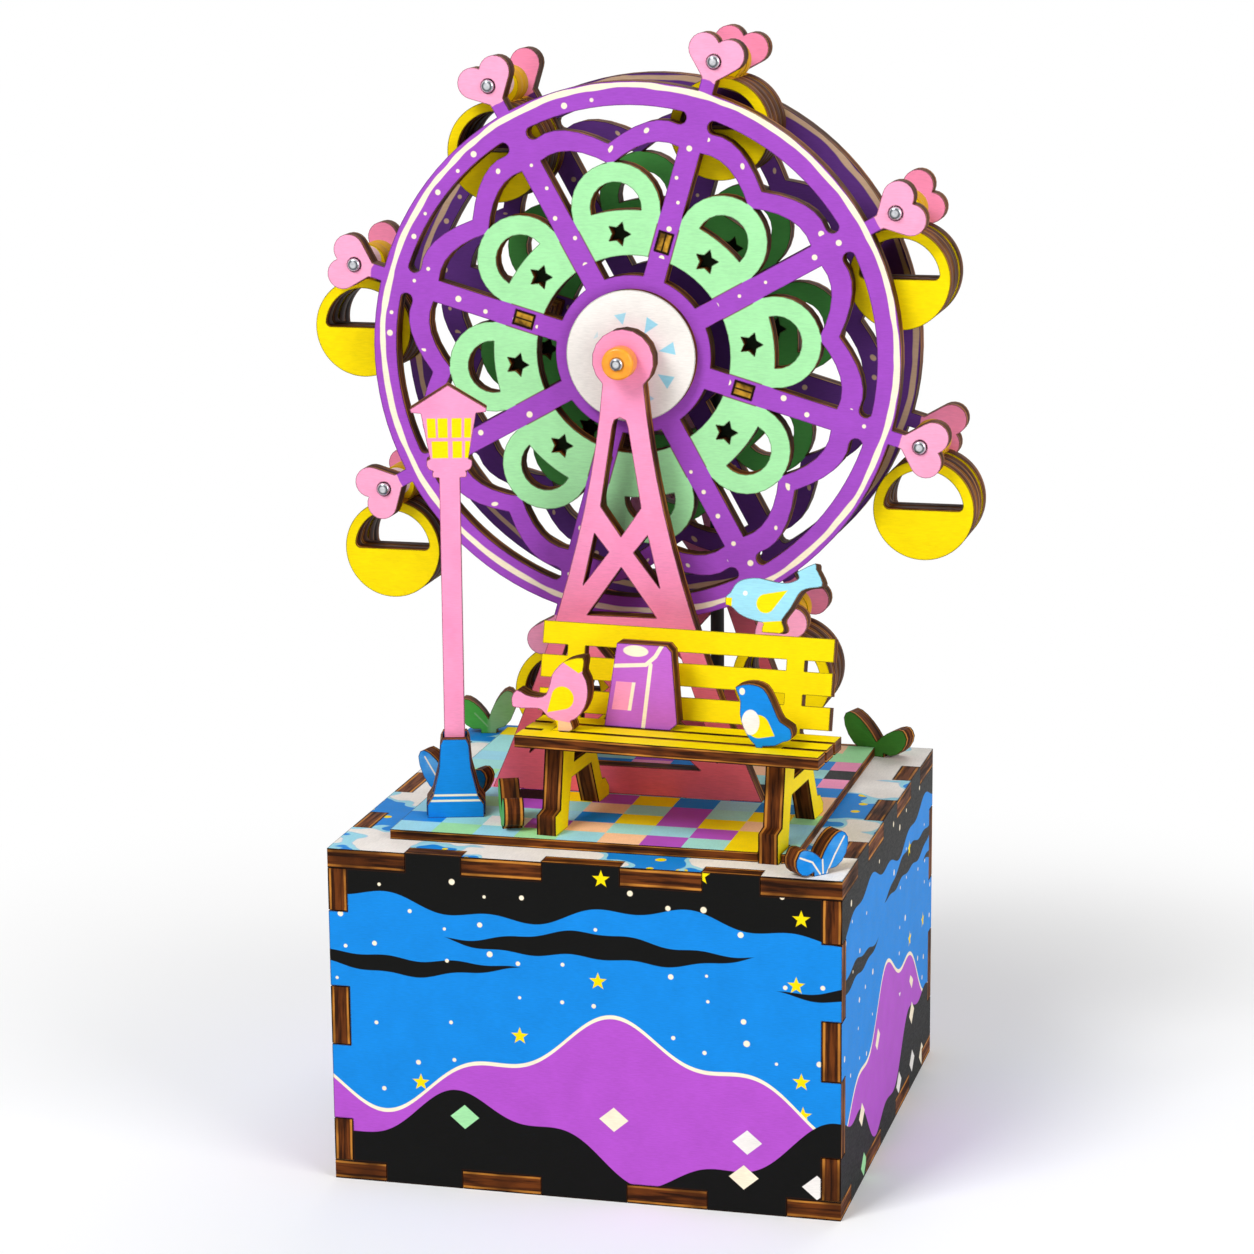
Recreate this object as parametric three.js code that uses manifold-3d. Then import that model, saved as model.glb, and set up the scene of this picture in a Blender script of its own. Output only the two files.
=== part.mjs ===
// Ferris wheel toy of laser-cut plywood, turned by a hand crank on the back of its box.
// Millimetres, +X right, +Y to the back, +Z up. The origin is the middle of the box's underside.
import * as THREE from "three";
import { mergeVertices } from "three/addons/utils/BufferGeometryUtils.js";
import Module from "manifold-3d";

const wasm = await Module();
wasm.setup();

// Sheet stock, rod stock and fits
const ply = 3;
const thinPly = 1.5;
const rodDiameter = 2;
const boreClearance = 0.15;
const tabClearance = 0.1;
const runningGap = 0.3;
const cutOverrun = 1;
const weldReach = 0.0005;

// Steps of the round shapes
const wheelSteps = 96;
const discSteps = 28;
const boreSteps = 12;
const curveSteps = 6;
const outlineSteps = 2;

// Box and its finger joints
const box = { width: 78, depth: 77, height: 52 };
const topJointShares = { corner: 0.154, tab: 0.113, finger: 0.156 };
const bottomJointShares = { corner: 0.103, tab: 0.156, finger: 0.155 };
const uprightJoint = { endTab: 6.6, middleTab: 9.1 };
const floorPlate = { x: -0.35, sideBorder: 8.05, endBorder: 6.8 };

// Wheel: places along Y are counted from the middle of the box
const wheel = {
  centreX: -1.6,
  axleHeight: 67.7,
  frontY: 1.5,
  spokes: 8,
  firstSpokeDegrees: 28.95,
  rimRadius: 41.4,
  rimWidth: 3.6,
  hubRadius: 12.2,
  spokeWidth: 3.4,
  pinRadius: 46.15,
};
const scallop = { rimStart: 35.7, notch: 32.2, crown: 37.3, width: 3.2, crownShare: 0.5 };
const heart = { tip: 42.4, lobeCentre: 47.65, lobeRadius: 2.4, lobeOffset: 1.95, stemWidth: 2.2 };
const spacer = { radius: 17.9, across: 2.2, along: 3.1 };
const hubCoverRadius = 10.3;
const petal = {
  innerRadius: 15.2,
  lobeCentre: 22.4,
  lobeRadius: 7,
  windowRadius: 4,
  windowDrop: 0.65,
  starCentre: 18.5,
  starRadius: 1.9,
  starWaistShare: 0.54,
  starPoints: 5,
};
const pinProud = 0.8;

// Gondola, hung from its pin
const gondola = {
  layers: 4,
  play: 0.6,
  backPlay: 1.4,
  discRadius: 7.75,
  drop: 10.3,
  wall: 1.6,
  lugRadius: 2.9,
  lugDrop: 0.9,
  floorStep: 1.5,
};

// Frames that carry the wheel
const frame = {
  frontGap: 1.9,
  backGap: 0.9,
  footHalf: 21.45,
  waistHalf: 5.5,
  waistHeight: 36.3,
  neckHalf: 3.2,
  topRadius: 4.8,
  footTab: 7,
  footTabCentre: 13,
  openingLeft: 0.5,
};
const frameOpeningShares = [
  [
    [0.057, 0.852], [0.149, 0.668], [0, 0.6], [-0.149, 0.668], [-0.057, 0.852], [-0.042, 0.866],
    [0, 0.872], [0.042, 0.866],
  ],
  [[0.195, 0.606], [0.09, 0.564], [0.284, 0.484]],
  [[0, 0.53], [-0.257, 0.416], [0.257, 0.416]],
  [[0.29, 0.381], [0, 0.276], [-0.29, 0.381]],
  [[0.4, 0.358], [0.1, 0.25], [0.7, 0.085]],
  [[0, 0.224], [-0.575, 0.066], [0.575, 0.066]],
];
const mirroredOpenings = [1, 4];
const endCap = { diameter: 5.4, length: 3.4, axleProud: 2 };

// Belt drive and crank
const pulley = { flangeRadius: 9.3, flange: 1.5, groove: 2.6, grooveRadius: 6.4 };
const belt = { section: 2.2, slotPlay: 0.7 };
const crank = {
  height: 26,
  shaftDiameter: 3,
  armThrow: 17,
  armWidth: 8,
  armGap: 0.8,
  hubRadius: 3.5,
  knobDiameter: 8,
  knobLength: 11,
  knobWaistShare: 0.72,
};
const bearingPlate = { width: 30, height: 38, y: 12, shoulder: 9, tab: 12 };

// Bench, turned a little towards the right front corner
const bench = {
  placeShares: [0.1449, -0.4234],
  turnDegrees: -4.2,
  length: 46.6,
  seatDepth: 12.7,
  seatHeight: 15.5,
  board: 1.9,
  slatGap: 1,
  backLength: 45.6,
  backShift: -1.6,
  backSlatGap: 1.6,
  backHeight: 13.6,
  backRise: 1.7,
  backLeanDegrees: 14,
  slats: 3,
  strapWidth: 2.8,
  legSpacingShare: 0.737,
  legShift: -1.77,
  legThickness: 3,
  legDepth: 24.6,
  legInset: 1.3,
};
const legOutlineShares = [
  [0, 0], [0.22, 0], [0.265, 0.36], [0.3, 0.53], [0.665, 0.53], [0.81, 0], [1, 0], [1, 0.11],
  [0.93, 0.23], [0.87, 0.25], [0.66, 1], [0.17, 1], [0.1, 0.25], [0, 0.22],
];
const legWindowShares = [[0.345, 0.69], [0.62, 0.69], [0.565, 0.93], [0.375, 0.93]];

// Lamp, turned towards the front right
const lamp = {
  placeShares: [-0.3083, -0.2805],
  turnDegrees: 16,
  height: 65.9,
  width: 11.4,
  postWidth: 3.1,
  baseWidth: 8.5,
  baseHeight: 12.2,
  backBaseWidth: 8.9,
  baseSink: 3,
};
const lanternShares = [
  [0.205, 0.789], [0.224, 0.792], [0.224, 0.8], [0.21, 0.804], [0.27, 0.808], [0.297, 0.8165],
  [0.296, 0.828], [0.25, 0.832], [0.36, 0.936], [0.485, 0.938], [0.5, 0.946], [0, 1],
];
const lampBaseShares = [[0.5, 0], [0.5, 0.16], [0.4, 0.27], [0.28, 0.62], [0.25, 0.93], [0.2, 1]];

// Birds, bag and leaves: outline points as shares of each piece's width and height
const perchedBird = { width: 14.7, height: 10.8, placeShare: 0.2458 };
const perchedBirdShares = [
  [0.005, 0.346], [0, 0.459], [0.045, 0.519], [0.084, 0.618], [0.136, 0.689], [0.228, 0.731],
  [0.346, 0.742], [0.49, 0.707], [0.62, 0.696], [0.7, 0.724], [0.757, 0.777], [0.733, 0.848],
  [0.777, 0.894], [0.914, 0.989], [0.929, 0.908], [0.982, 0.795], [1, 0.678], [0.882, 0.647],
  [0.79, 0.6], [0.738, 0.495], [0.686, 0.353], [0.607, 0.194], [0.62, 0.117], [0.634, 0.053],
  [0.594, 0], [0.406, 0], [0.416, 0.117], [0.372, 0.141], [0.254, 0.177], [0.149, 0.237],
  [0.071, 0.325],
];
const pinkBird = { width: 12, height: 11.4, placeShares: [-0.4104, 0.315] };
const pinkBirdShares = [
  [0.01, 0.282], [0, 0.403], [0.07, 0.51], [0.19, 0.452], [0.345, 0.43], [0.455, 0.478],
  [0.508, 0.632], [0.534, 0.739], [0.594, 0.833], [0.686, 0.927], [0.79, 0.973], [0.942, 1],
  [0.948, 0.887], [0.935, 0.793], [0.979, 0.699], [1, 0.565], [0.979, 0.403], [0.908, 0.255],
  [0.817, 0.167], [0.77, 0.142], [0.8, 0.05], [0.751, 0], [0.503, 0], [0.589, 0.054],
  [0.56, 0.14], [0.476, 0.175], [0.419, 0.242], [0.345, 0.282], [0.136, 0.269],
];
const blueBird = { width: 8.4, height: 9.4, placeShares: [0.3036, 0.236] };
const blueBirdShares = [
  [0, 0.94], [0.138, 0.988], [0.32, 1], [0.507, 0.94], [0.622, 0.778], [0.714, 0.597],
  [0.806, 0.435], [0.99, 0.335], [1, 0.173], [0.853, 0.12], [0.714, 0.052], [0.493, 0.03],
  [0.484, 0], [0.369, 0], [0.355, 0.04], [0.244, 0.145], [0.138, 0.323], [0.083, 0.516],
  [0.092, 0.718], [0.046, 0.839],
];
const bag = { width: 11.6, height: 12.8, placeShares: [-0.144, 0.709] };
const bagShares = [[0.02, 0], [0.9, 0], [1, 0.08], [0.93, 0.93], [0.86, 1], [0.2, 1]];
const sprig = {
  reach: 8,
  rootHalf: 1.3,
  stem: 0.7,
  crotch: 1.7,
  outerBulge: 2.9,
  innerBulge: 1.2,
  tipBulge: 1.6,
  outerBellyShare: 0.18,
  innerBellyShare: 0.4,
};
const sprigEdgeInset = { leaf_rear_left: 3.9, leaf_rear_right: 7.7, leaf_front_right: 4.67 };
const sprigAlongShares = { leaf_rear_left: 0.4416, leaf_rear_right: 0.4286, leaf_front_right: -0.4557 };
const leftSprigs = ["leaf_rear_left"];
const lampSprigShares = [-0.189, 0.719];
const benchSprigShares = { fromLampToLeg: 0.545, alongLeg: 0.268 };
const sprigTipShares = {
  leaf_rear_left: [[-0.575, 0.675], [0.4875, 0.9]],
  leaf_rear_right: [[-0.7, 0.825], [0.65, 0.5375]],
  leaf_lamp: [[-0.7125, 0.925], [0.675, 0.6375]],
  leaf_front_right: [[-0.5125, 0.4375], [0.5375, 0.7125]],
  leaf_front_left: [[-0.5, 0.7875], [0.45, 0.575]],
};
const sprigTurnDegrees = {
  leaf_rear_left: 10,
  leaf_rear_right: -17,
  leaf_lamp: -12,
  leaf_front_right: 48,
  leaf_front_left: -68,
};
const blueSprigs = ["leaf_lamp", "leaf_front_right"];

// Derived places
const floorTop = box.height + thinPly;
const floorWidth = box.width - 2 * floorPlate.sideBorder;
const floorDepth = box.depth - 2 * floorPlate.endBorder;
const wheelHeight = floorTop + wheel.axleHeight;
const gondolaDepth = gondola.layers * ply;
const rearPlateY = wheel.frontY + ply + gondola.play + gondolaDepth + gondola.backPlay;
const rearPlateBack = rearPlateY + ply;
const pulleyWidth = pulley.groove + 2 * pulley.flange;
const beltY = rearPlateBack + pulleyWidth / 2;
const frontFrameY = wheel.frontY - thinPly - frame.frontGap - ply;
const rearFrameY = rearPlateBack + pulleyWidth + frame.backGap;
const rearPanelFront = box.depth / 2 - ply;
const halfSector = Math.PI / wheel.spokes;
const boreRadius = rodDiameter / 2 + boreClearance;
const benchTurn = THREE.MathUtils.degToRad(bench.turnDegrees);

// Colours of the prints and of the metal
const materials = {
  night: finish(0x1d1d1f, 0.7),
  blue: finish(0x1f8fe6, 0.65),
  pale: finish(0xa9dfe6, 0.65),
  wood: finish(0xb98450, 0.8),
  purple: finish(0xa850cb, 0.65),
  pink: finish(0xff9cc8, 0.65),
  cream: finish(0xf1eae4, 0.65),
  yellow: finish(0xfbe806, 0.6),
  green: finish(0x3f9c3a, 0.65),
  lightBlue: finish(0x9fdceb, 0.65),
  orange: finish(0xffae1a, 0.5),
  rubber: finish(0x191919, 0.85),
  steel: finish(0xc9cbd0, 0.3, 1),
};

function finish(color, roughness, metalness = 0) {
  return new THREE.MeshStandardMaterial({ color, roughness, metalness });
}

// Solids from geometries and back
function toSolid(geometry) {
  const bare = geometry.index ? geometry.toNonIndexed() : geometry.clone();
  bare.deleteAttribute("normal");
  bare.deleteAttribute("uv");
  const merged = mergeVertices(bare, weldReach);
  return new wasm.Manifold(
    new wasm.Mesh({
      numProp: 3,
      vertProperties: new Float32Array(merged.attributes.position.array),
      triVerts: new Uint32Array(merged.index.array),
    }),
  );
}

function toGeometry(solid) {
  const mesh = solid.getMesh();
  const geometry = new THREE.BufferGeometry();
  geometry.setAttribute("position", new THREE.BufferAttribute(mesh.vertProperties, 3));
  geometry.setIndex(new THREE.BufferAttribute(mesh.triVerts, 1));
  geometry.computeVertexNormals();
  return geometry;
}

function join(...geometries) {
  return toGeometry(geometries.map(toSolid).reduce((sum, next) => sum.add(next)));
}

function cut(geometry, ...cutters) {
  return toGeometry(cutters.map(toSolid).reduce((rest, next) => rest.subtract(next), toSolid(geometry)));
}

// Plates cut from a drawn outline
function flatPlate(shape, thickness, lowZ, steps = curveSteps) {
  const geometry = new THREE.ExtrudeGeometry(shape, {
    depth: thickness,
    bevelEnabled: false,
    curveSegments: steps,
  });
  return geometry.translate(0, 0, lowZ);
}

function frontPlate(shape, thickness, frontY, steps = curveSteps) {
  const geometry = flatPlate(shape, thickness, -thickness, steps);
  return geometry.rotateX(Math.PI / 2).translate(0, frontY, 0);
}

function sidePlate(shape, thickness, leftX, steps = curveSteps) {
  const geometry = flatPlate(shape, thickness, 0, steps);
  return geometry.rotateX(Math.PI / 2).rotateZ(Math.PI / 2).translate(leftX, 0, 0);
}

function polygon(points) {
  return new THREE.Shape(points.map(([x, y]) => new THREE.Vector2(x, y)));
}

function fromShares(shares, width, height) {
  return shares.map(([x, y]) => [x * width, y * height]);
}

function onBox(placeShares) {
  return fromShares([placeShares], box.width, box.depth)[0];
}

function mirrorPoints(points) {
  return points.map(([x, y]) => [-x, y]).reverse();
}

function shifted(points, shiftX) {
  return points.map(([x, y]) => [x + shiftX, y]);
}

function smoothOutline(points) {
  const corners = [...points, points[0]].map(([x, y]) => new THREE.Vector2(x, y));
  const curve = new THREE.SplineCurve(corners).getPoints(outlineSteps * points.length);
  return polygon(curve.slice(1).map((point) => [point.x, Math.max(0, point.y)]));
}

function circleHole(radius, x = 0, y = 0, steps = boreSteps) {
  const points = Array.from({ length: steps }, (_, i) => {
    const angle = (2 * Math.PI * i) / steps;
    return new THREE.Vector2(x + radius * Math.cos(angle), y + radius * Math.sin(angle));
  });
  return new THREE.Path(points);
}

function turned(points, angle) {
  const cos = Math.cos(angle);
  const sin = Math.sin(angle);
  return points.map(([x, y]) => [x * cos - y * sin, x * sin + y * cos]);
}

function arcPoints(centreX, centreY, radius, from, to, steps) {
  return Array.from({ length: steps + 1 }, (_, i) => {
    const angle = from + ((to - from) * i) / steps;
    return [centreX + radius * Math.cos(angle), centreY + radius * Math.sin(angle)];
  });
}

function bowPoints(start, control, end, steps) {
  const curve = new THREE.QuadraticBezierCurve(
    new THREE.Vector2(...start),
    new THREE.Vector2(...control),
    new THREE.Vector2(...end),
  );
  return curve.getPoints(steps).map((point) => [point.x, point.y]);
}

function polarPoint(radius, angle) {
  return [radius * Math.cos(angle), radius * Math.sin(angle)];
}

function rod(diameter, fromY, toY, steps = boreSteps) {
  const radius = diameter / 2;
  const geometry = new THREE.CylinderGeometry(radius, radius, toY - fromY, steps);
  return geometry.translate(0, (fromY + toY) / 2, 0);
}

function ring(profile, steps = discSteps) {
  const points = profile.map(([radius, y]) => new THREE.Vector2(radius, y));
  return new THREE.LatheGeometry([...points, points[0].clone()], steps);
}

function addPiece(parent, name, geometry, material) {
  const mesh = new THREE.Mesh(geometry, material.clone());
  mesh.name = name;
  parent.add(mesh);
  return mesh;
}

// Box: panels with tabs between the plates' fingers
function tabBands(length, shares) {
  const tab = shares.tab * length;
  const outer = length / 2 - shares.corner * length;
  const middle = outer - tab - shares.finger * length;
  return [[-outer, tab - outer], [-middle, middle], [outer - tab, outer]];
}

function sideTabBands() {
  const clear = box.height / 2 - ply;
  const half = uprightJoint.middleTab / 2;
  return [[-clear, uprightJoint.endTab - clear], [-half, half], [clear - uprightJoint.endTab, clear]];
}

function frontTabBands() {
  const [low, middle, high] = sideTabBands();
  return [[low[1], middle[0]], [middle[1], high[0]]];
}

function steppedRectangle(halfWidth, halfHeight, step, { bottom, upright, top }) {
  const points = [[-halfWidth, -halfHeight]];
  for (const [a, b] of bottom) {
    points.push([a, -halfHeight], [a, -halfHeight - step], [b, -halfHeight - step], [b, -halfHeight]);
  }
  points.push([halfWidth, -halfHeight]);
  for (const [a, b] of upright) {
    points.push([halfWidth, a], [halfWidth + step, a], [halfWidth + step, b], [halfWidth, b]);
  }
  points.push([halfWidth, halfHeight]);
  for (const [a, b] of [...top].reverse()) {
    points.push([b, halfHeight], [b, halfHeight + step], [a, halfHeight + step], [a, halfHeight]);
  }
  points.push([-halfWidth, halfHeight]);
  for (const [a, b] of [...upright].reverse()) {
    points.push([-halfWidth, b], [-halfWidth - step, b], [-halfWidth - step, a], [-halfWidth, a]);
  }
  return polygon(points.filter((point, i) => i === 0 || !samePoint(point, points[i - 1])));
}

function samePoint(a, b) {
  return a[0] === b[0] && a[1] === b[1];
}

function narrowed(bands) {
  return bands.map(([a, b]) => [a + tabClearance, b - tabClearance]);
}

function uprightPanelShape(length, uprightBands) {
  return steppedRectangle(length / 2 - ply, box.height / 2 - ply, ply, {
    bottom: narrowed(tabBands(length, bottomJointShares)),
    upright: narrowed(uprightBands),
    top: narrowed(tabBands(length, topJointShares)),
  });
}

function coverPlateShape(shares) {
  const across = tabBands(box.width, shares);
  return steppedRectangle(box.width / 2, box.depth / 2, -ply, {
    bottom: across,
    upright: tabBands(box.depth, shares),
    top: across,
  });
}

function throughSlot(width, depth, x, y) {
  const height = box.height + thinPly + 2 * cutOverrun;
  return new THREE.BoxGeometry(width, depth, height).translate(x, y, height / 2 - cutOverrun);
}

function beltSlots() {
  const width = belt.section + 2 * belt.slotPlay;
  const reach = pulley.grooveRadius + runningGap + belt.section / 2;
  return [-1, 1].map((side) => throughSlot(width, width, wheel.centreX + side * reach, beltY));
}

function buildBox(parent) {
  const middle = box.height / 2;
  const bearingMiddle = bearingPlate.y + ply / 2;
  const bearingSlotWidth = bearingPlate.tab + 2 * tabClearance;
  const bearingSlot = throughSlot(bearingSlotWidth, ply + 2 * tabClearance, wheel.centreX, bearingMiddle);
  const bottom = flatPlate(coverPlateShape(bottomJointShares), ply, 0);
  addPiece(parent, "bottom_plate", cut(bottom, bearingSlot), materials.wood);
  const top = flatPlate(coverPlateShape(topJointShares), ply, box.height - ply);
  addPiece(parent, "top_plate", cut(top, ...beltSlots()), materials.blue);

  const frontShape = uprightPanelShape(box.width, frontTabBands());
  const front = frontPlate(frontShape, ply, -box.depth / 2).translate(0, 0, middle);
  addPiece(parent, "front_panel", front, materials.night);

  const rearShape = uprightPanelShape(box.width, frontTabBands());
  rearShape.holes.push(
    circleHole(crank.shaftDiameter / 2 + boreClearance, wheel.centreX, crank.height - middle),
  );
  const rear = frontPlate(rearShape, ply, rearPanelFront).translate(0, 0, middle);
  addPiece(parent, "rear_panel", rear, materials.night);

  const sideShape = uprightPanelShape(box.depth, sideTabBands());
  const left = sidePlate(sideShape, ply, -box.width / 2).translate(0, 0, middle);
  addPiece(parent, "left_panel", left, materials.night);
  const right = sidePlate(sideShape, ply, box.width / 2 - ply).translate(0, 0, middle);
  addPiece(parent, "right_panel", right, materials.night);
}

function footNotch() {
  const toeDepth = legOutlineShares[1][0] * bench.legDepth;
  const notch = new THREE.BoxGeometry(
    bench.legThickness + 2 * runningGap, toeDepth + 2 * runningGap, thinPly + 2 * cutOverrun,
  );
  notch.translate(legPlace(1), bench.legInset + toeDepth / 2, 0);
  return notch.rotateZ(benchTurn).translate(...onBox(bench.placeShares), box.height + thinPly / 2);
}

function buildFloorPlate(parent) {
  const plate = new THREE.BoxGeometry(floorWidth, floorDepth, thinPly);
  plate.translate(floorPlate.x, 0, box.height + thinPly / 2);
  const slotWidth = frame.footTab + 2 * tabClearance;
  const slotDepth = ply + 2 * tabClearance;
  const slots = [...beltSlots(), footNotch()];
  for (const frontY of [frontFrameY, rearFrameY]) {
    for (const side of [-1, 1]) {
      const x = wheel.centreX + side * frame.footTabCentre;
      slots.push(throughSlot(slotWidth, slotDepth, x, frontY + ply / 2));
    }
  }
  addPiece(parent, "floor_plate", cut(plate, ...slots), materials.pale);
}

// Frames: flared legs with cross braces, tabbed into the floor plate
function frameShape() {
  const neckDrop = Math.sqrt(frame.topRadius ** 2 - frame.neckHalf ** 2);
  const neckHeight = wheel.axleHeight - neckDrop;
  const tabIn = frame.footTabCentre - frame.footTab / 2;
  const tabOut = frame.footTabCentre + frame.footTab / 2;
  const leg = bowPoints(
    [frame.footHalf, 0],
    [frame.waistHalf, frame.waistHeight],
    [frame.neckHalf, neckHeight],
    2 * curveSteps,
  );
  const neckAngle = Math.asin(neckDrop / frame.topRadius);
  const top = arcPoints(0, wheel.axleHeight, frame.topRadius, -neckAngle, Math.PI / 2, curveSteps + 1);
  const right = [[tabIn, 0], [tabIn, -thinPly], [tabOut, -thinPly], [tabOut, 0], ...leg, ...top.slice(1)];
  const shape = polygon([...right, ...mirrorPoints(right).slice(1)]);
  frameOpeningShares.forEach((shares, i) => {
    const points = fromShares(shares, frame.footHalf, wheel.axleHeight);
    shape.holes.push(polygon(shifted(points, -frame.openingLeft)));
    if (mirroredOpenings.includes(i)) {
      shape.holes.push(polygon(shifted(mirrorPoints(points), -frame.openingLeft)));
    }
  });
  shape.holes.push(circleHole(boreRadius, 0, wheel.axleHeight));
  return shape;
}

function buildFrames(parent) {
  for (const [name, frontY] of [["front_frame", frontFrameY], ["rear_frame", rearFrameY]]) {
    const geometry = frontPlate(frameShape(), ply, frontY);
    geometry.translate(wheel.centreX, 0, floorTop);
    addPiece(parent, name, geometry, materials.pink);
  }
}

// Wheel plates: rim, spokes, scalloped band and a heart past the rim at each spoke
function spokeAngle(i) {
  return THREE.MathUtils.degToRad(wheel.firstSpokeDegrees) + 2 * halfSector * i;
}

function besideSpoke(radius, angle, side) {
  const half = wheel.spokeWidth / 2;
  return polarPoint(radius, angle + side * Math.asin(half / radius));
}

function heartHalf() {
  const { tip, lobeCentre, lobeRadius, lobeOffset, stemWidth } = heart;
  const reach = Math.hypot(lobeCentre - tip, lobeOffset);
  const slope = Math.atan2(lobeOffset, lobeCentre - tip) + Math.asin(lobeRadius / reach);
  const stemHalf = stemWidth / 2;
  const cleft = Math.acos(lobeOffset / lobeRadius);
  const lobe = arcPoints(
    lobeCentre, lobeOffset, lobeRadius, Math.PI / 2 + slope, cleft - Math.PI / 2, 2 * curveSteps,
  );
  return [[tip + stemHalf / Math.tan(slope), stemHalf], ...lobe];
}

function rimOutline() {
  const stemAngle = Math.asin(heart.stemWidth / 2 / wheel.rimRadius);
  const rimSteps = wheelSteps / wheel.spokes;
  const half = heartHalf();
  const whole = [...half.map(([x, y]) => [x, -y]), ...[...half].reverse().slice(1)];
  const points = [];
  for (let i = 0; i < wheel.spokes; i++) {
    const angle = spokeAngle(i);
    const next = angle + 2 * halfSector;
    points.push(...turned(whole, angle));
    points.push(...arcPoints(0, 0, wheel.rimRadius, angle + stemAngle, next - stemAngle, rimSteps));
  }
  return polygon(points);
}

function bandEdge(start, notch, crown, angle, side) {
  const middle = angle + side * halfSector;
  const crownAngle = angle + side * halfSector * scallop.crownShare;
  return bowPoints(start, polarPoint(crown, crownAngle), polarPoint(notch, middle), curveSteps);
}

function outerOpening(angle) {
  const next = angle + 2 * halfSector;
  const rimInner = wheel.rimRadius - wheel.rimWidth;
  const round = (rimInner - scallop.rimStart) / 2;
  const aside = wheel.spokeWidth / 2 + round;
  const end = arcPoints(rimInner - round, aside, round, 0, -Math.PI, curveSteps).slice(1);
  const [near, far] = [[angle, 1], [next, -1]].map(([spoke, side]) => {
    const cap = turned(end.map(([x, y]) => [x, side * y]), spoke);
    const edge = bandEdge(cap[cap.length - 1], scallop.notch, scallop.crown, spoke, side);
    return [...cap, ...edge.slice(1)];
  });
  const edge = Math.asin(aside / rimInner);
  const rim = arcPoints(0, 0, rimInner, next - edge, angle + edge, 2 * curveSteps);
  return polygon([...near, ...far.reverse().slice(1), ...rim]);
}

function innerOpening(angle) {
  const next = angle + 2 * halfSector;
  const edge = Math.asin(wheel.spokeWidth / 2 / wheel.hubRadius);
  const hub = arcPoints(0, 0, wheel.hubRadius, next - edge, angle + edge, curveSteps);
  const start = scallop.rimStart - scallop.width;
  const notch = scallop.notch - scallop.width;
  const crown = scallop.crown - scallop.width;
  const near = bandEdge(besideSpoke(start, angle, 1), notch, crown, angle, 1);
  const far = bandEdge(besideSpoke(start, next, -1), notch, crown, next, -1);
  return polygon([...near, ...far.reverse().slice(1), ...hub]);
}

function spacerHole(angle) {
  const across = spacer.across / 2 + tabClearance;
  const along = spacer.along / 2 + tabClearance;
  const corners = [
    [spacer.radius - along, -across], [spacer.radius + along, -across],
    [spacer.radius + along, across], [spacer.radius - along, across],
  ];
  return polygon(turned(corners, angle));
}

function spacerAngles() {
  const angles = [];
  for (let i = 1; i < wheel.spokes; i += 2) angles.push(spokeAngle(i));
  return angles;
}

function wheelPlateShape() {
  const shape = rimOutline();
  for (let i = 0; i < wheel.spokes; i++) {
    const angle = spokeAngle(i);
    shape.holes.push(outerOpening(angle), innerOpening(angle));
    shape.holes.push(circleHole(boreRadius, ...polarPoint(wheel.pinRadius, angle)));
  }
  shape.holes.push(circleHole(boreRadius));
  return shape;
}

// Petals: eight lobes between the spokes, with a half-round window and a star each
function petalWindow(angle) {
  const edge = Math.PI / 2 + Math.asin(petal.windowDrop / petal.windowRadius);
  const arc = arcPoints(petal.lobeCentre, 0, petal.windowRadius, -edge, edge, 2 * curveSteps);
  const [endX, endY] = arc[arc.length - 1];
  const sweep = Math.atan2(endY, endX);
  const flat = arcPoints(0, 0, Math.hypot(endX, endY), sweep, -sweep, curveSteps);
  return polygon(turned([...arc, ...flat.slice(1, -1)], angle));
}

function starHole(angle) {
  const [centreX, centreY] = polarPoint(petal.starCentre, angle);
  const points = [];
  for (let i = 0; i < 2 * petal.starPoints; i++) {
    const radius = petal.starRadius * (i % 2 ? petal.starWaistShare : 1);
    const [x, y] = polarPoint(radius, (Math.PI * i) / petal.starPoints);
    points.push([centreX + x, centreY + y]);
  }
  return polygon(points);
}

function petalShape() {
  const lobeEdge = Math.PI / 2 + halfSector;
  const lobe = arcPoints(petal.lobeCentre, 0, petal.lobeRadius, -lobeEdge, lobeEdge, 3 * curveSteps);
  const angles = Array.from({ length: wheel.spokes }, (_, i) => spokeAngle(i) + halfSector);
  const shape = polygon(angles.flatMap((angle) => turned(lobe, angle)));
  angles.forEach((angle) => shape.holes.push(petalWindow(angle), starHole(angle)));
  shape.holes.push(circleHole(petal.innerRadius, 0, 0, 2 * discSteps));
  return shape;
}

function wheelPlate(frontY) {
  const petals = frontPlate(petalShape(), ply, frontY);
  const plate = join(frontPlate(wheelPlateShape(), ply, frontY), petals);
  const depth = ply + 2 * cutOverrun;
  const slots = spacerAngles().map((angle) => frontPlate(spacerHole(angle), depth, frontY - cutOverrun));
  return cut(plate, ...slots);
}

// Hub, axle and pulley on the wheel
function pulleyProfile(startY) {
  const { flangeRadius, flange, groove, grooveRadius } = pulley;
  const firstEdge = startY + flange;
  const secondEdge = firstEdge + groove;
  return [
    [flangeRadius, startY], [flangeRadius, firstEdge], [grooveRadius, firstEdge],
    [grooveRadius, secondEdge], [flangeRadius, secondEdge], [flangeRadius, secondEdge + flange],
  ];
}

function capRing(fromY, toY) {
  const outer = endCap.diameter / 2;
  return ring([[boreRadius, fromY], [outer, fromY], [outer, toY], [boreRadius, toY]]);
}

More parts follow.
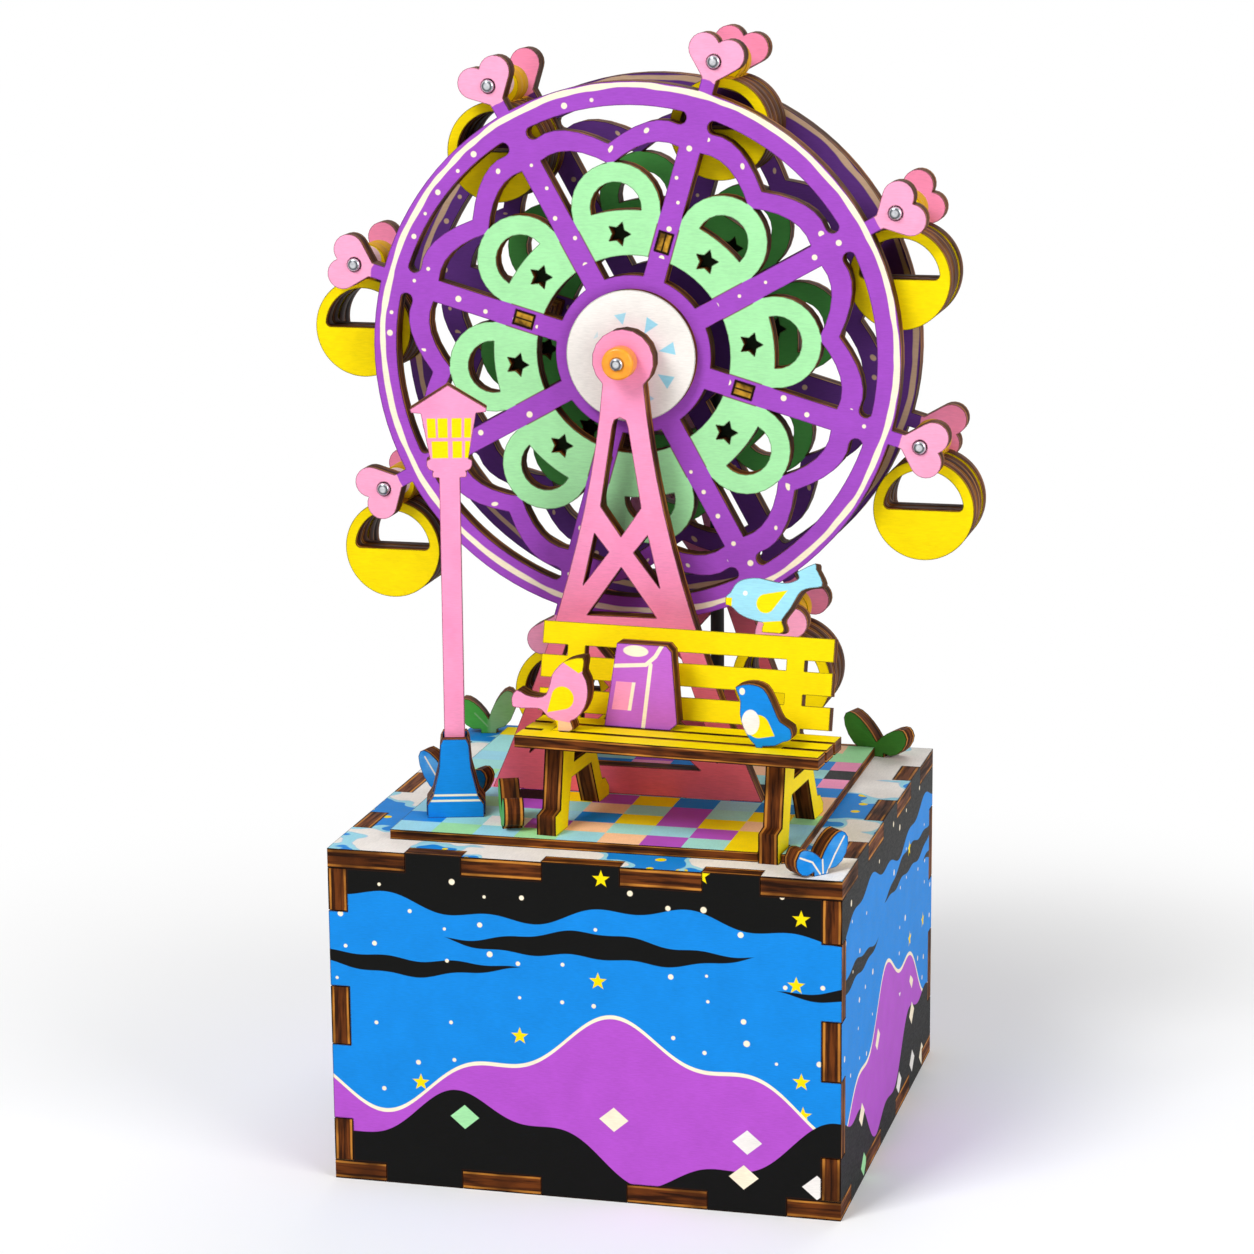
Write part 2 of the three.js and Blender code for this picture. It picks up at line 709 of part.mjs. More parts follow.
function buildWheel(parent) {
  const group = new THREE.Group();
  group.position.set(wheel.centreX, 0, wheelHeight);
  parent.add(group);

  addPiece(group, "front_wheel_plate", wheelPlate(wheel.frontY), materials.purple);
  addPiece(group, "rear_wheel_plate", wheelPlate(rearPlateY), materials.purple);

  const cover = new THREE.Shape(circleHole(hubCoverRadius, 0, 0, discSteps).getPoints());
  cover.holes.push(circleHole(boreRadius));
  addPiece(group, "hub_cover", frontPlate(cover, thinPly, wheel.frontY - thinPly), materials.cream);

  spacerAngles().forEach((angle, i) => {
    const bar = new THREE.BoxGeometry(spacer.along, rearPlateBack - wheel.frontY, spacer.across);
    bar.translate(spacer.radius, (rearPlateBack + wheel.frontY) / 2, 0).rotateY(-angle);
    addPiece(group, `spacer_${i + 1}`, bar, materials.wood);
  });

  const capFront = frontFrameY - runningGap - endCap.length;
  const capBack = rearFrameY + ply + runningGap;
  const axle = rod(rodDiameter, capFront - endCap.axleProud, capBack + endCap.length);
  addPiece(group, "axle", axle, materials.steel);
  addPiece(group, "front_cap", capRing(capFront, capFront + endCap.length), materials.orange);
  addPiece(group, "rear_cap", capRing(capBack, capBack + endCap.length), materials.orange);

  const profile = pulleyProfile(rearPlateBack);
  const back = rearPlateBack + pulleyWidth;
  const wheelPulley = ring([[boreRadius, rearPlateBack], ...profile, [boreRadius, back]]);
  addPiece(group, "wheel_pulley", wheelPulley, materials.wood);
  return group;
}

// Gondolas: four glued discs, the second with a lug, and a window that is deeper at the front
function gondolaDiscShape(floorStep) {
  const inner = gondola.discRadius - gondola.wall;
  const rim = arcPoints(0, -gondola.drop, gondola.discRadius, 0, 2 * Math.PI, discSteps);
  const disc = polygon(rim.slice(1));
  const edge = Math.asin(floorStep / inner);
  disc.holes.push(polygon(arcPoints(0, -gondola.drop, inner, -edge, Math.PI + edge, 2 * curveSteps)));
  return disc;
}

function lugShape() {
  const { lugRadius, lugDrop, drop, discRadius, wall } = gondola;
  const low = discRadius - drop - wall / 2;
  const top = arcPoints(0, -lugDrop, lugRadius, -Math.PI / 4, (5 * Math.PI) / 4, 2 * curveSteps);
  const [lowHalf] = top[0];
  const shape = polygon([[-lowHalf, low], [lowHalf, low], ...top]);
  shape.holes.push(circleHole(boreRadius));
  return shape;
}

function gondolaGeometry() {
  const half = gondolaDepth / 2;
  const front = wheel.frontY + ply + gondola.play;
  const frontHalf = frontPlate(gondolaDiscShape(0), half, front);
  const backHalf = frontPlate(gondolaDiscShape(gondola.floorStep), half, front + half);
  const lug = frontPlate(lugShape(), ply, front + ply);
  return join(frontHalf, backHalf, lug);
}

function buildGondolas(wheelGroup) {
  const geometry = gondolaGeometry();
  for (let i = 0; i < wheel.spokes; i++) {
    const [x, z] = polarPoint(wheel.pinRadius, spokeAngle(i));
    const cabin = addPiece(wheelGroup, `gondola_${i + 1}`, geometry.clone(), materials.yellow);
    cabin.position.set(x, 0, z);
    const pinGeometry = rod(rodDiameter, wheel.frontY - pinProud, rearPlateBack + pinProud);
    const pin = addPiece(wheelGroup, `gondola_pin_${i + 1}`, pinGeometry, materials.steel);
    pin.position.set(x, 0, z);
  }
}

// Drive: crank, shaft and lower pulley, with a belt up to the wheel's pulley
function beltShape() {
  const span = wheelHeight - crank.height;
  const inner = pulley.grooveRadius + runningGap;
  const loop = (radius) => [
    ...arcPoints(0, span, radius, 0, Math.PI, 2 * curveSteps),
    ...arcPoints(0, 0, radius, Math.PI, 2 * Math.PI, 2 * curveSteps),
  ];
  const shape = polygon(loop(inner + belt.section));
  shape.holes.push(polygon(loop(inner)));
  return shape;
}

function bearingShape() {
  const half = bearingPlate.width / 2;
  const tabHalf = bearingPlate.tab / 2;
  const low = bearingPlate.height - bearingPlate.shoulder;
  const shape = polygon([
    [-half, 0], [-tabHalf, 0], [-tabHalf, -ply], [tabHalf, -ply], [tabHalf, 0], [half, 0], [half, low],
    [tabHalf, bearingPlate.height], [-tabHalf, bearingPlate.height], [-half, low],
  ]);
  shape.holes.push(circleHole(crank.shaftDiameter / 2 + boreClearance, 0, crank.height - ply));
  return shape;
}

function crankArmShape() {
  const half = crank.armWidth / 2;
  const top = arcPoints(0, 0, half, 0, Math.PI, 2 * curveSteps);
  const bottom = arcPoints(0, -crank.armThrow, half, Math.PI, 2 * Math.PI, 2 * curveSteps);
  const shape = polygon([...top, ...bottom]);
  shape.holes.push(circleHole(crank.shaftDiameter / 2 + boreClearance));
  shape.holes.push(circleHole(boreRadius, 0, -crank.armThrow));
  return shape;
}

function knobGeometry(fromY) {
  const radius = crank.knobDiameter / 2;
  const waist = radius * crank.knobWaistShare;
  const bore = boreRadius + boreClearance;
  const toY = fromY + crank.knobLength;
  const quarter = crank.knobLength / 4;
  return ring([
    [bore, fromY], [waist, fromY], [waist, fromY + quarter], [radius, fromY + 2 * quarter],
    [radius, toY - quarter / 2], [waist, toY], [bore, toY],
  ]);
}

function buildDrive(parent) {
  const bearing = frontPlate(bearingShape(), ply, bearingPlate.y).translate(wheel.centreX, 0, ply);
  addPiece(parent, "inner_bearing", bearing, materials.wood);
  const beltGeometry = frontPlate(beltShape(), belt.section, beltY - belt.section / 2);
  beltGeometry.translate(wheel.centreX, 0, crank.height);
  addPiece(parent, "drive_belt", beltGeometry, materials.rubber);

  const group = new THREE.Group();
  group.position.set(wheel.centreX, 0, crank.height);
  parent.add(group);
  const armFront = box.depth / 2 + crank.armGap;
  const armBack = armFront + ply;
  const shaft = rod(crank.shaftDiameter, bearingPlate.y - pinProud, armBack + pinProud);
  addPiece(group, "crank_shaft", shaft, materials.steel);
  const shaftBore = crank.shaftDiameter / 2 + boreClearance;
  const hubEnd = rearPanelFront - runningGap;
  const pulleyRing = ring([
    [shaftBore, rearPlateBack], ...pulleyProfile(rearPlateBack),
    [crank.hubRadius, rearPlateBack + pulleyWidth], [crank.hubRadius, hubEnd], [shaftBore, hubEnd],
  ]);
  addPiece(group, "crank_pulley", pulleyRing, materials.wood);
  addPiece(group, "crank_arm", frontPlate(crankArmShape(), ply, armFront), materials.wood);
  const knobStart = armBack + runningGap;
  const pin = rod(rodDiameter, armFront, knobStart + crank.knobLength + pinProud);
  addPiece(group, "knob_pin", pin.translate(0, 0, -crank.armThrow), materials.steel);
  const knob = knobGeometry(knobStart).translate(0, 0, -crank.armThrow);
  addPiece(group, "crank_knob", knob, materials.yellow);
}

// Bench: slatted seat and back on two A-shaped legs, with its birds and bag
function slatBoard(length, depth, gap, strapLength, shift) {
  const pitch = (depth + gap) / bench.slats;
  const slatWidth = pitch - gap;
  const boards = [];
  for (let i = 0; i < bench.slats; i++) {
    const slat = new THREE.BoxGeometry(length, slatWidth, bench.board);
    boards.push(slat.translate(0, i * pitch + slatWidth / 2, bench.board / 2));
  }
  for (const side of [-1, 1]) {
    const reach = strapLength - slatWidth / 2;
    const strap = new THREE.BoxGeometry(bench.strapWidth, reach, bench.board);
    boards.push(strap.translate(legPlace(side) - shift, depth - slatWidth / 2 - reach / 2, bench.board / 2));
  }
  return join(...boards);
}

function legPlace(side) {
  return bench.legShift + (side * bench.legSpacingShare * bench.length) / 2;
}

function legShape(legHeight, toeDrop) {
  const [heel, toe, ...rest] = fromShares(legOutlineShares, bench.legDepth, legHeight);
  const shape = polygon([[heel[0], -toeDrop], [toe[0], -toeDrop], ...rest]);
  shape.holes.push(polygon(fromShares(legWindowShares, bench.legDepth, legHeight)));
  return shape;
}

function buildBench(parent) {
  const group = new THREE.Group();
  group.position.set(...onBox(bench.placeShares), floorTop);
  group.rotation.z = benchTurn;
  parent.add(group);

  const seat = slatBoard(bench.length, bench.seatDepth, bench.slatGap, bench.seatDepth, 0);
  seat.translate(0, 0, bench.seatHeight - bench.board);
  addPiece(group, "bench_seat", seat, materials.yellow);

  const legHeight = bench.seatHeight - bench.board;
  for (const [name, side, toeDrop] of [["bench_leg_left", -1, 0], ["bench_leg_right", 1, thinPly]]) {
    const shape = legShape(legHeight, toeDrop);
    const leg = sidePlate(shape, bench.legThickness, legPlace(side) - bench.legThickness / 2);
    addPiece(group, name, leg.translate(0, bench.legInset, 0), materials.yellow);
  }

  const lean = THREE.MathUtils.degToRad(bench.backLeanDegrees);
  const backFoot = legHeight + runningGap + bench.board * Math.sin(lean);
  const backGroup = new THREE.Group();
  backGroup.position.set(bench.backShift, bench.seatDepth + runningGap, backFoot);
  backGroup.rotation.x = -lean;
  group.add(backGroup);
  const backTop = bench.backRise + bench.backHeight;
  const back = slatBoard(bench.backLength, bench.backHeight, bench.backSlatGap, backTop, bench.backShift);
  back.rotateX(Math.PI / 2).translate(0, bench.board, bench.backRise);
  addPiece(backGroup, "bench_back", back, materials.yellow);

  const perched = outlinePlate(perchedBird, perchedBirdShares, true);
  const perch = perchedBird.placeShare * bench.length - bench.backShift;
  perched.translate(perch, (bench.board - ply) / 2, backTop + runningGap);
  addPiece(backGroup, "bird_perched", perched, materials.lightBlue);

  const onSeat = ({ placeShares }, geometry) => {
    const [[x, y]] = fromShares([placeShares], bench.length, bench.seatDepth);
    return geometry.translate(x, y, bench.seatHeight);
  };
  addPiece(group, "bird_pink", onSeat(pinkBird, outlinePlate(pinkBird, pinkBirdShares, true)), materials.pink);
  addPiece(group, "bird_blue", onSeat(blueBird, outlinePlate(blueBird, blueBirdShares, true)), materials.blue);
  addPiece(group, "bag", onSeat(bag, outlinePlate(bag, bagShares, false)), materials.purple);
}

function outlinePlate({ width, height }, shares, smooth) {
  const points = fromShares(shares, width, height).map(([x, y]) => [x - width / 2, y]);
  return frontPlate(smooth ? smoothOutline(points) : polygon(points), ply, 0, 1);
}

// Lamp: lantern and post in one plate, held in a layered base
function buildLamp(parent) {
  const group = new THREE.Group();
  group.position.set(...onBox(lamp.placeShares), floorTop);
  group.rotation.z = THREE.MathUtils.degToRad(lamp.turnDegrees);
  parent.add(group);

  const postHalf = lamp.postWidth / 2;
  const lantern = fromShares(lanternShares, lamp.width, lamp.height);
  const right = [[postHalf, lamp.baseSink], [postHalf, lantern[0][1]], ...lantern];
  const plate = polygon([...right, ...mirrorPoints(right).slice(1)]);
  addPiece(group, "lamp_post", frontPlate(plate, ply, 0), materials.pink);

  const baseOutline = (width) => {
    const half = fromShares(lampBaseShares, width, lamp.baseHeight);
    return polygon([...half, ...mirrorPoints(half)]);
  };
  const front = frontPlate(baseOutline(lamp.baseWidth), 2 * thinPly, -thinPly - runningGap);
  const back = frontPlate(baseOutline(lamp.backBaseWidth), ply + 2 * runningGap + thinPly, -runningGap);
  const slot = new THREE.BoxGeometry(
    lamp.postWidth + 2 * runningGap, ply + 2 * runningGap, lamp.baseHeight,
  );
  slot.translate(0, ply / 2, lamp.baseHeight / 2 + lamp.baseSink - runningGap);
  addPiece(group, "lamp_base", cut(join(front, back), slot), materials.blue);
}

// Leaves: two rounded leaves on one root, each plate turned its own way
function leafSide(root, tip, side, bulge, bellyShare) {
  const along = new THREE.Vector2(...tip).sub(new THREE.Vector2(...root));
  const normal = new THREE.Vector2(-along.y, along.x).setLength(side);
  const belly = new THREE.Vector2(...root).addScaledVector(along, bellyShare);
  const curve = new THREE.CubicBezierCurve(
    new THREE.Vector2(...root),
    belly.addScaledVector(normal, bulge),
    new THREE.Vector2(...tip).addScaledVector(normal, sprig.tipBulge),
    new THREE.Vector2(...tip),
  );
  return curve.getPoints(curveSteps).map((point) => [point.x, point.y]);
}

function sprigShape(left, right) {
  const { rootHalf, stem, crotch } = sprig;
  const outer = (root, tip, side) => leafSide(root, tip, side, sprig.outerBulge, sprig.outerBellyShare);
  const inner = (root, tip, side) => leafSide(root, tip, side, sprig.innerBulge, sprig.innerBellyShare);
  const fork = [0, stem + crotch];
  return polygon([
    [-rootHalf, 0],
    [rootHalf, 0],
    ...outer([rootHalf, stem], right, -1),
    ...inner(fork, right, 1).reverse().slice(1),
    ...inner(fork, left, -1).slice(1),
    ...outer([-rootHalf, stem], left, 1).reverse().slice(1),
  ]);
}

function beside(placeShares, sideShares, size) {
  const [x, y] = onBox(placeShares);
  const [[sideX, sideY]] = fromShares([sideShares], size, size);
  return [x + sideX, y + sideY];
}

function betweenLampAndBench() {
  const [benchX, benchY] = onBox(bench.placeShares);
  const lampEdge = onBox(lamp.placeShares)[0] + lamp.baseWidth / 2;
  const legEdge = benchX + legPlace(-1) - bench.legThickness / 2;
  const x = lampEdge + benchSprigShares.fromLampToLeg * (legEdge - lampEdge);
  return [x, benchY + benchSprigShares.alongLeg * bench.legDepth];
}

function sprigPlace(name) {
  if (name === "leaf_lamp") return beside(lamp.placeShares, lampSprigShares, lamp.width);
  if (name === "leaf_front_left") return betweenLampAndBench();
  const reach = box.width / 2 - sprigEdgeInset[name];
  return [leftSprigs.includes(name) ? -reach : reach, sprigAlongShares[name] * box.depth];
}

function buildSprigs(parent) {
  for (const name of Object.keys(sprigTipShares)) {
    const [x, y] = sprigPlace(name);
    const [left, right] = fromShares(sprigTipShares[name], sprig.reach, sprig.reach);
    const overPlate = Math.abs(x - floorPlate.x) < floorWidth / 2 && Math.abs(y) < floorDepth / 2;
    const geometry = frontPlate(sprigShape(left, right), ply, -ply / 2);
    const material = blueSprigs.includes(name) ? materials.blue : materials.green;
    const mesh = addPiece(parent, name, geometry, material);
    mesh.position.set(x, y, overPlate ? floorTop : box.height);
    mesh.rotation.z = THREE.MathUtils.degToRad(sprigTurnDegrees[name]);
  }
}

const toy = new THREE.Group();
buildBox(toy);
buildFloorPlate(toy);
buildFrames(toy);
const wheelGroup = buildWheel(toy);
buildGondolas(wheelGroup);
buildDrive(toy);
buildBench(toy);
buildLamp(toy);
buildSprigs(toy);

export default toy;
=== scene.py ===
# Looks for the laser-cut ferris wheel toy. Metres; the dictionaries beside the code are in millimetres.
import bpy
import math
from mathutils import Matrix, Vector


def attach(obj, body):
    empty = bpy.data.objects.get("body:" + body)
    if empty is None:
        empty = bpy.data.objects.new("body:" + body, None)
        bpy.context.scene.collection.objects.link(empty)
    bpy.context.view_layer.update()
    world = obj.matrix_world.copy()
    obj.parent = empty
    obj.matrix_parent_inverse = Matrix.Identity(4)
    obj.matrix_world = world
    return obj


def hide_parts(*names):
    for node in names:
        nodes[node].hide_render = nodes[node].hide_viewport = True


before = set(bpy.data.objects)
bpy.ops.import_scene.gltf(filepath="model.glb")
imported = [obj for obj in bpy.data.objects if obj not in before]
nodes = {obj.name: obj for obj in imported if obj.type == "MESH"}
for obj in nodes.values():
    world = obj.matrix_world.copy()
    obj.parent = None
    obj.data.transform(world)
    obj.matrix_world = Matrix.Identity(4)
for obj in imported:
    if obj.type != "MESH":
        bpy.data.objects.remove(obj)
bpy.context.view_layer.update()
mm = 0.001

toyPlaces = {
    "wheelX": -1.6, "wheelZ": 121.2, "firstSpoke": 28.95, "spokes": 8, "pinRadius": 46.15,
    "frontPlateY": 1.5, "rearPlateY": 18.5, "ply": 3.0, "thinPly": 1.5, "crankZ": 26.0, "crankThrow": 17.0,
    "bench": (11.3, -32.6, 53.5), "benchTurn": -4.2, "seatHeight": 15.5,
    "lamp": (-24.05, -21.6, 53.5), "lampTurn": 16.0,
}

inks = {  # as they read on the printed sheet, 0 to 255, besides the painted shade and painted reflection inks noted below
    "purple": (178, 82, 200), "wheelPurple": (158, 76, 190), "bagPurple": (194, 104, 208),
    "pink": (248, 154, 194), "pinkDeep": (244, 134, 182), "heart": (248, 164, 198), "blush": (246, 216, 214),
    "yellow": (248, 220, 2), "yellowWarm": (244, 212, 6), "mint": (164, 228, 166), "cream": (250, 236, 208),
    "white": (240, 235, 229), "paleBlue": (156, 217, 235), "blue": (20, 134, 220), "black": (16, 16, 15),
    "cyan": (160, 222, 220), "peach": (250, 200, 160), "orange": (255, 164, 24), "orangeDeep": (238, 142, 16),
    "leafDark": (74, 142, 56), "leafMid": (92, 176, 96), "leafLight": (84, 180, 76), "leafPale": (150, 196, 134),
    "woodPale": (214, 164, 104), "woodDeep": (158, 102, 52), "scorchBlack": (16, 8, 4),
    "scorchCore": (50, 23, 8), "scorchBrown": (108, 55, 19), "scorchTan": (206, 136, 54),
    "frameLow": (250, 112, 132), "lugGold": (240, 176, 20), "slotGold": (196, 146, 46), "slotOlive": (92, 64, 18),
    # painted shade: the Shade inks are darker copies for the rear wheel plate, and the star inks are the shade in the
    # star openings
    "purpleShade": (96, 54, 130), "mintShade": (84, 166, 80), "creamShade": (200, 170, 140),
    "pinkShade": (246, 142, 176), "starDark": (30, 42, 22), "starDeep": (14, 16, 10),
    # painted reflection: the steel's dark ring ink is the dark reflection on the domed steel ends
    "steel": (228, 230, 233), "steelDeep": (196, 198, 203), "steelDarkReflection": (92, 94, 100),
    "rubber": (34, 34, 36), "rubberDeep": (22, 22, 24),
}


def ink(name):
    def linear(value):
        share = value / 255
        return share / 12.92 if share <= 0.04045 else ((share + 0.055) / 1.055) ** 2.4
    return (*[linear(v) for v in inks[name]], 1.0)


# what a node puts out: sums are written as usual, & is what both masks hold, | what either does, ~ the rest
class Value:
    def __init__(self, paint, socket):
        self.paint, self.socket = paint, socket

    def __add__(self, other):
        return self.paint.calc("ADD", self, other)

    def __sub__(self, other):
        return self.paint.calc("SUBTRACT", self, other)

    def __rsub__(self, other):
        return self.paint.calc("SUBTRACT", other, self)

    def __mul__(self, other):
        return self.paint.calc("MULTIPLY", self, other)

    def __truediv__(self, other):
        return self.paint.calc("DIVIDE", self, other)

    def __mod__(self, other):
        return self.paint.calc("FLOORED_MODULO", self, other)

    def __and__(self, other):
        return self.paint.calc("MULTIPLY", self, other)

    def __or__(self, other):
        return self.paint.calc("MAXIMUM", self, other)

    def __abs__(self):
        return self.paint.calc("ABSOLUTE", self)

    def __invert__(self):
        return 1.0 - self


# a material whose nodes are wired by small calls; u and v lie in a plate's face, w goes through it
class Paint:
    def __init__(self, name, facing="front", place=(0, 0, 0), turn=0.0, lean=0.0, leanPlace=None):
        self.material = bpy.data.materials.new(name)
        self.material.use_nodes = True
        self.tree = self.material.node_tree
        self.shader = self.tree.nodes["Principled BSDF"]
        coordinates = self.node("TexCoord")
        spot = self.vector("SCALE", coordinates.outputs["Object"], scale=1000)
        normal = coordinates.outputs["Normal"]
        if any(place):
            spot = self.vector("SUBTRACT", spot, place)
        if turn:
            spot, normal = self.rotate(spot, "Z_AXIS", -turn), self.rotate(normal, "Z_AXIS", -turn)
        if leanPlace:
            spot = self.vector("SUBTRACT", spot, leanPlace)
            spot, normal = self.rotate(spot, "X_AXIS", lean), self.rotate(normal, "X_AXIS", lean)
        self.spot = spot
        self.x, self.y, self.z = self.split(spot)
        nx, ny, nz = self.split(normal)
        self.u, self.v, self.w, self.nw, self.through = {
            "front": (self.x, self.z, self.y, ny, 1),
            "side": (self.y, self.z, self.x, nx, 0),
            "flat": (self.x, self.y, self.z, nz, 2),
        }[facing]

    def node(self, kind, **settings):
        made = self.tree.nodes.new("ShaderNode" + kind)
        for key, value in settings.items():
            setattr(made, key, value)
        return made

    def feed(self, socket, value):
        value = value.socket if isinstance(value, Value) else value
        if isinstance(value, bpy.types.NodeSocket):
            self.tree.links.new(value, socket)
        else:
            socket.default_value = value

    def make(self, kind, feeds, output=0, **settings):  # feeds: values in the sockets' order, or by socket
        made = self.node(kind, **settings)
        for key, value in feeds.items() if isinstance(feeds, dict) else enumerate(feeds):
            self.feed(made.inputs[key], value)
        return Value(self, made.outputs[output])

    def calc(self, operation, *values):
        return self.make("Math", values, operation=operation)

    def vector(self, operation, *values, scale=None):
        feeds = dict(enumerate(values)) if scale is None else {0: values[0], "Scale": scale}
        output = "Value" if operation in ("LENGTH", "DOT_PRODUCT") else "Vector"
        return self.make("VectorMath", feeds, output, operation=operation)

    def rotate(self, value, axis, degrees):
        return self.make("VectorRotate", {"Vector": value, "Angle": math.radians(degrees)}, rotation_type=axis)

    def split(self, value):
        made = self.node("SeparateXYZ")
        self.feed(made.inputs[0], value)
        return [Value(self, output) for output in made.outputs]

    def combine(self, x, y, z=0.0):
        return self.make("CombineXYZ", (x, y, z))

    def reach(self, x, y):
        return self.vector("LENGTH", self.combine(x, y))

    def slope(self, value, low, high, lowTo=0.0, highTo=1.0):
        return self.make("MapRange", (value, low, high, lowTo, highTo), clamp=True)

    def over(self, value, edge, soft=0.05):  # 1 above the edge, 0 below it
        return self.slope(value - edge, -soft, soft)

    def either(self, masks):
        total = masks[0]
        for mask in masks[1:]:
            total = total | mask
        return total

    def band(self, value, low, high, soft=0.05):
        return self.over(value, low, soft) & ~self.over(value, high, soft)

    def disc(self, u, v, centreU, centreV, radiusU, radiusV=None, tilt=0.0, soft=0.05):
        across, up = u - centreU, v - centreV
        cos, sin = math.cos(math.radians(tilt)), math.sin(math.radians(tilt))
        along, aside = across * cos + up * sin, up * cos - across * sin
        radiusV = radiusV or radiusU
        return ~self.over(self.reach(along / radiusU, aside / radiusV), 1.0, soft / min(radiusU, radiusV))

    def stroke(self, u, v, start, end, half, soft=0.05):
        point = self.vector("SUBTRACT", self.combine(u, v), (*start, 0))
        run = Vector((end[0] - start[0], end[1] - start[1], 0))
        share = self.slope(self.vector("DOT_PRODUCT", point, tuple(run)) / run.length_squared, 0.0, 1.0)
        nearest = self.combine(share * run.x, share * run.y)
        return ~self.over(self.vector("LENGTH", self.vector("SUBTRACT", point, nearest)), half, soft)

    def mix(self, mask, under, over, blend="MIX"):
        under, over = [ink(colour) if isinstance(colour, str) else colour for colour in (under, over)]
        return self.make("Mix", {0: mask, 6: under, 7: over}, 2, data_type="RGBA", blend_type=blend)

    def layer(self, face, *coats):  # each coat is a mask and its ink, laid over the ones before
        for mask, colour in coats:
            face = self.mix(mask, face, colour)
        return face

    def noise(self, scale, detail=3.0, stretch=(1, 1, 1), shift=0.0):
        place = self.vector("MULTIPLY", self.spot, stretch)
        if shift:
            place = self.vector("ADD", place, (shift, shift, shift))
        feeds = {"Vector": place, "Scale": scale, "Detail": detail}
        return self.make("TexNoise", feeds, "Fac", noise_dimensions="3D")

    def patchy(self, tone):  # where an uneven print's second tone shows
        return self.slope(self.noise(0.09, 2.0, shift=5.0), 0.45, 0.65, 0.0, tone)

    def chance(self, place):  # a fixed random value and colour for each whole-numbered place
        made = self.node("TexWhiteNoise", noise_dimensions="3D")
        self.feed(made.inputs["Vector"], place)
        return Value(self, made.outputs["Value"]), self.split(made.outputs["Color"])

    def ramp(self, value, stops):  # stepped from one ink to the next
        made = self.node("ValToRGB")
        made.color_ramp.interpolation = "CONSTANT"
        elements = made.color_ramp.elements
        while len(elements) < len(stops):
            elements.new(0.5)
        for element, (place, _) in zip(elements, stops):
            element.position = place
        for element, (_, colour) in zip(elements, stops):
            element.color = ink(colour)
        self.feed(made.inputs[0], value)
        return Value(self, made.outputs[0])

    def cells(self, u, v, width, height, jitter, seed):  # one scattered spot in each cell of a grid
        column, row = self.calc("FLOOR", u / width), self.calc("FLOOR", v / height)
        luck, (first, second, third) = self.chance(self.combine(column, row, float(seed)))
        across, up = [(cell + (part * jitter + (0.5 - jitter / 2))) * size
                      for cell, part, size in ((column, first, width), (row, second, height))]
        return u - across, v - up, luck, third

    def dots(self, u, v, pitch, small, large, share, seed):
        across, up, luck, size = self.cells(u, v, pitch, pitch, 0.6, seed)
        radius = self.slope(size, 0.0, 1.0, small, large)
        return ~self.over(self.reach(across, up), radius, 0.06) & ~self.over(luck, share, 0.0001)

    def relief(self, height, strength, distance):
        feeds = {"Strength": strength, "Distance": distance, "Height": height}
        self.feed(self.shader.inputs["Normal"], self.make("Bump", feeds))


scorch = {
    "ply": 3.0, "along": 0.14, "across": 1.7, "patches": 0.13, "wander": 0.11, "rim": 0.055, "veneerAndHighlight": (0.075, 0.18),
    "soft": 0.02, "gloss": 0.07, "lineReach": 0.3, "lineFrom": 0.985, "lineFull": 0.93, "lineStrength": 0.85,
}
finish = {  # noise scales per mm, how far the grain is drawn out, and the strength of each in tone and relief
    "grain": 5.5, "mottle": 0.22, "fibres": 16.0, "drawnOut": 0.16, "middle": (0.3, 0.7), "grainTone": (0.93, 1.04),
    "mottleTone": (-0.05, 0.04), "fibreTone": 0.06, "faceFrom": (0.6, 0.7), "edgeRough": (0.5, 0.7),
    "roughSpread": (-0.05, 0.07), "grainHeight": 0.35, "streakHeight": 1.2, "relief": 0.5, "reliefDepth": 0.00012,
    "rimGold": 0.75,
}


def scorchedEdge(paint, start=0.0, ply=None):
    # laser-cut side of the sheet: burnt lines at both faces, thin golden veneers beside them that also serve as painted
    # highlight along each face's border, a dark core with streaks that run along the cut
    stretch = [scorch["along"]] * 3
    stretch[paint.through] = scorch["across"]
    streaks = paint.noise(1.0, 4.0, tuple(stretch))
    patches = paint.noise(scorch["patches"], 2.0, shift=7.0)
    depth = (paint.w - start) / (ply or scorch["ply"])
    share = (streaks - 0.5) * scorch["wander"] + paint.calc("FRACT", depth)
    nearFace = paint.calc("MINIMUM", share, 1.0 - share)
    veneerAndHighlight = paint.band(nearFace, *scorch["veneerAndHighlight"], scorch["soft"]) & paint.slope(patches, 0.38, 0.6, 0.85, 0.12)
    edge = paint.layer("scorchBrown", (paint.slope(streaks, 0.42, 0.62), "scorchCore"),
                       (paint.slope(patches, 0.42, 0.62, 0.0, 0.55), "scorchBlack"), (veneerAndHighlight, "scorchTan"),
                       (~paint.over(nearFace, scorch["rim"], scorch["soft"]), "scorchBlack"))
    return edge, streaks


def burntLine(paint):  # 1 on the thin line that the laser burns along a face's rim
    rounded = paint.node("Bevel", samples=6)
    rounded.inputs["Radius"].default_value = scorch["lineReach"] * mm
    flat = paint.node("NewGeometry")
    alike = paint.vector("DOT_PRODUCT", rounded.outputs[0], flat.outputs["True Normal"])
    return paint.slope(alike, scorch["lineFrom"], scorch["lineFull"], 0.0, scorch["lineStrength"])


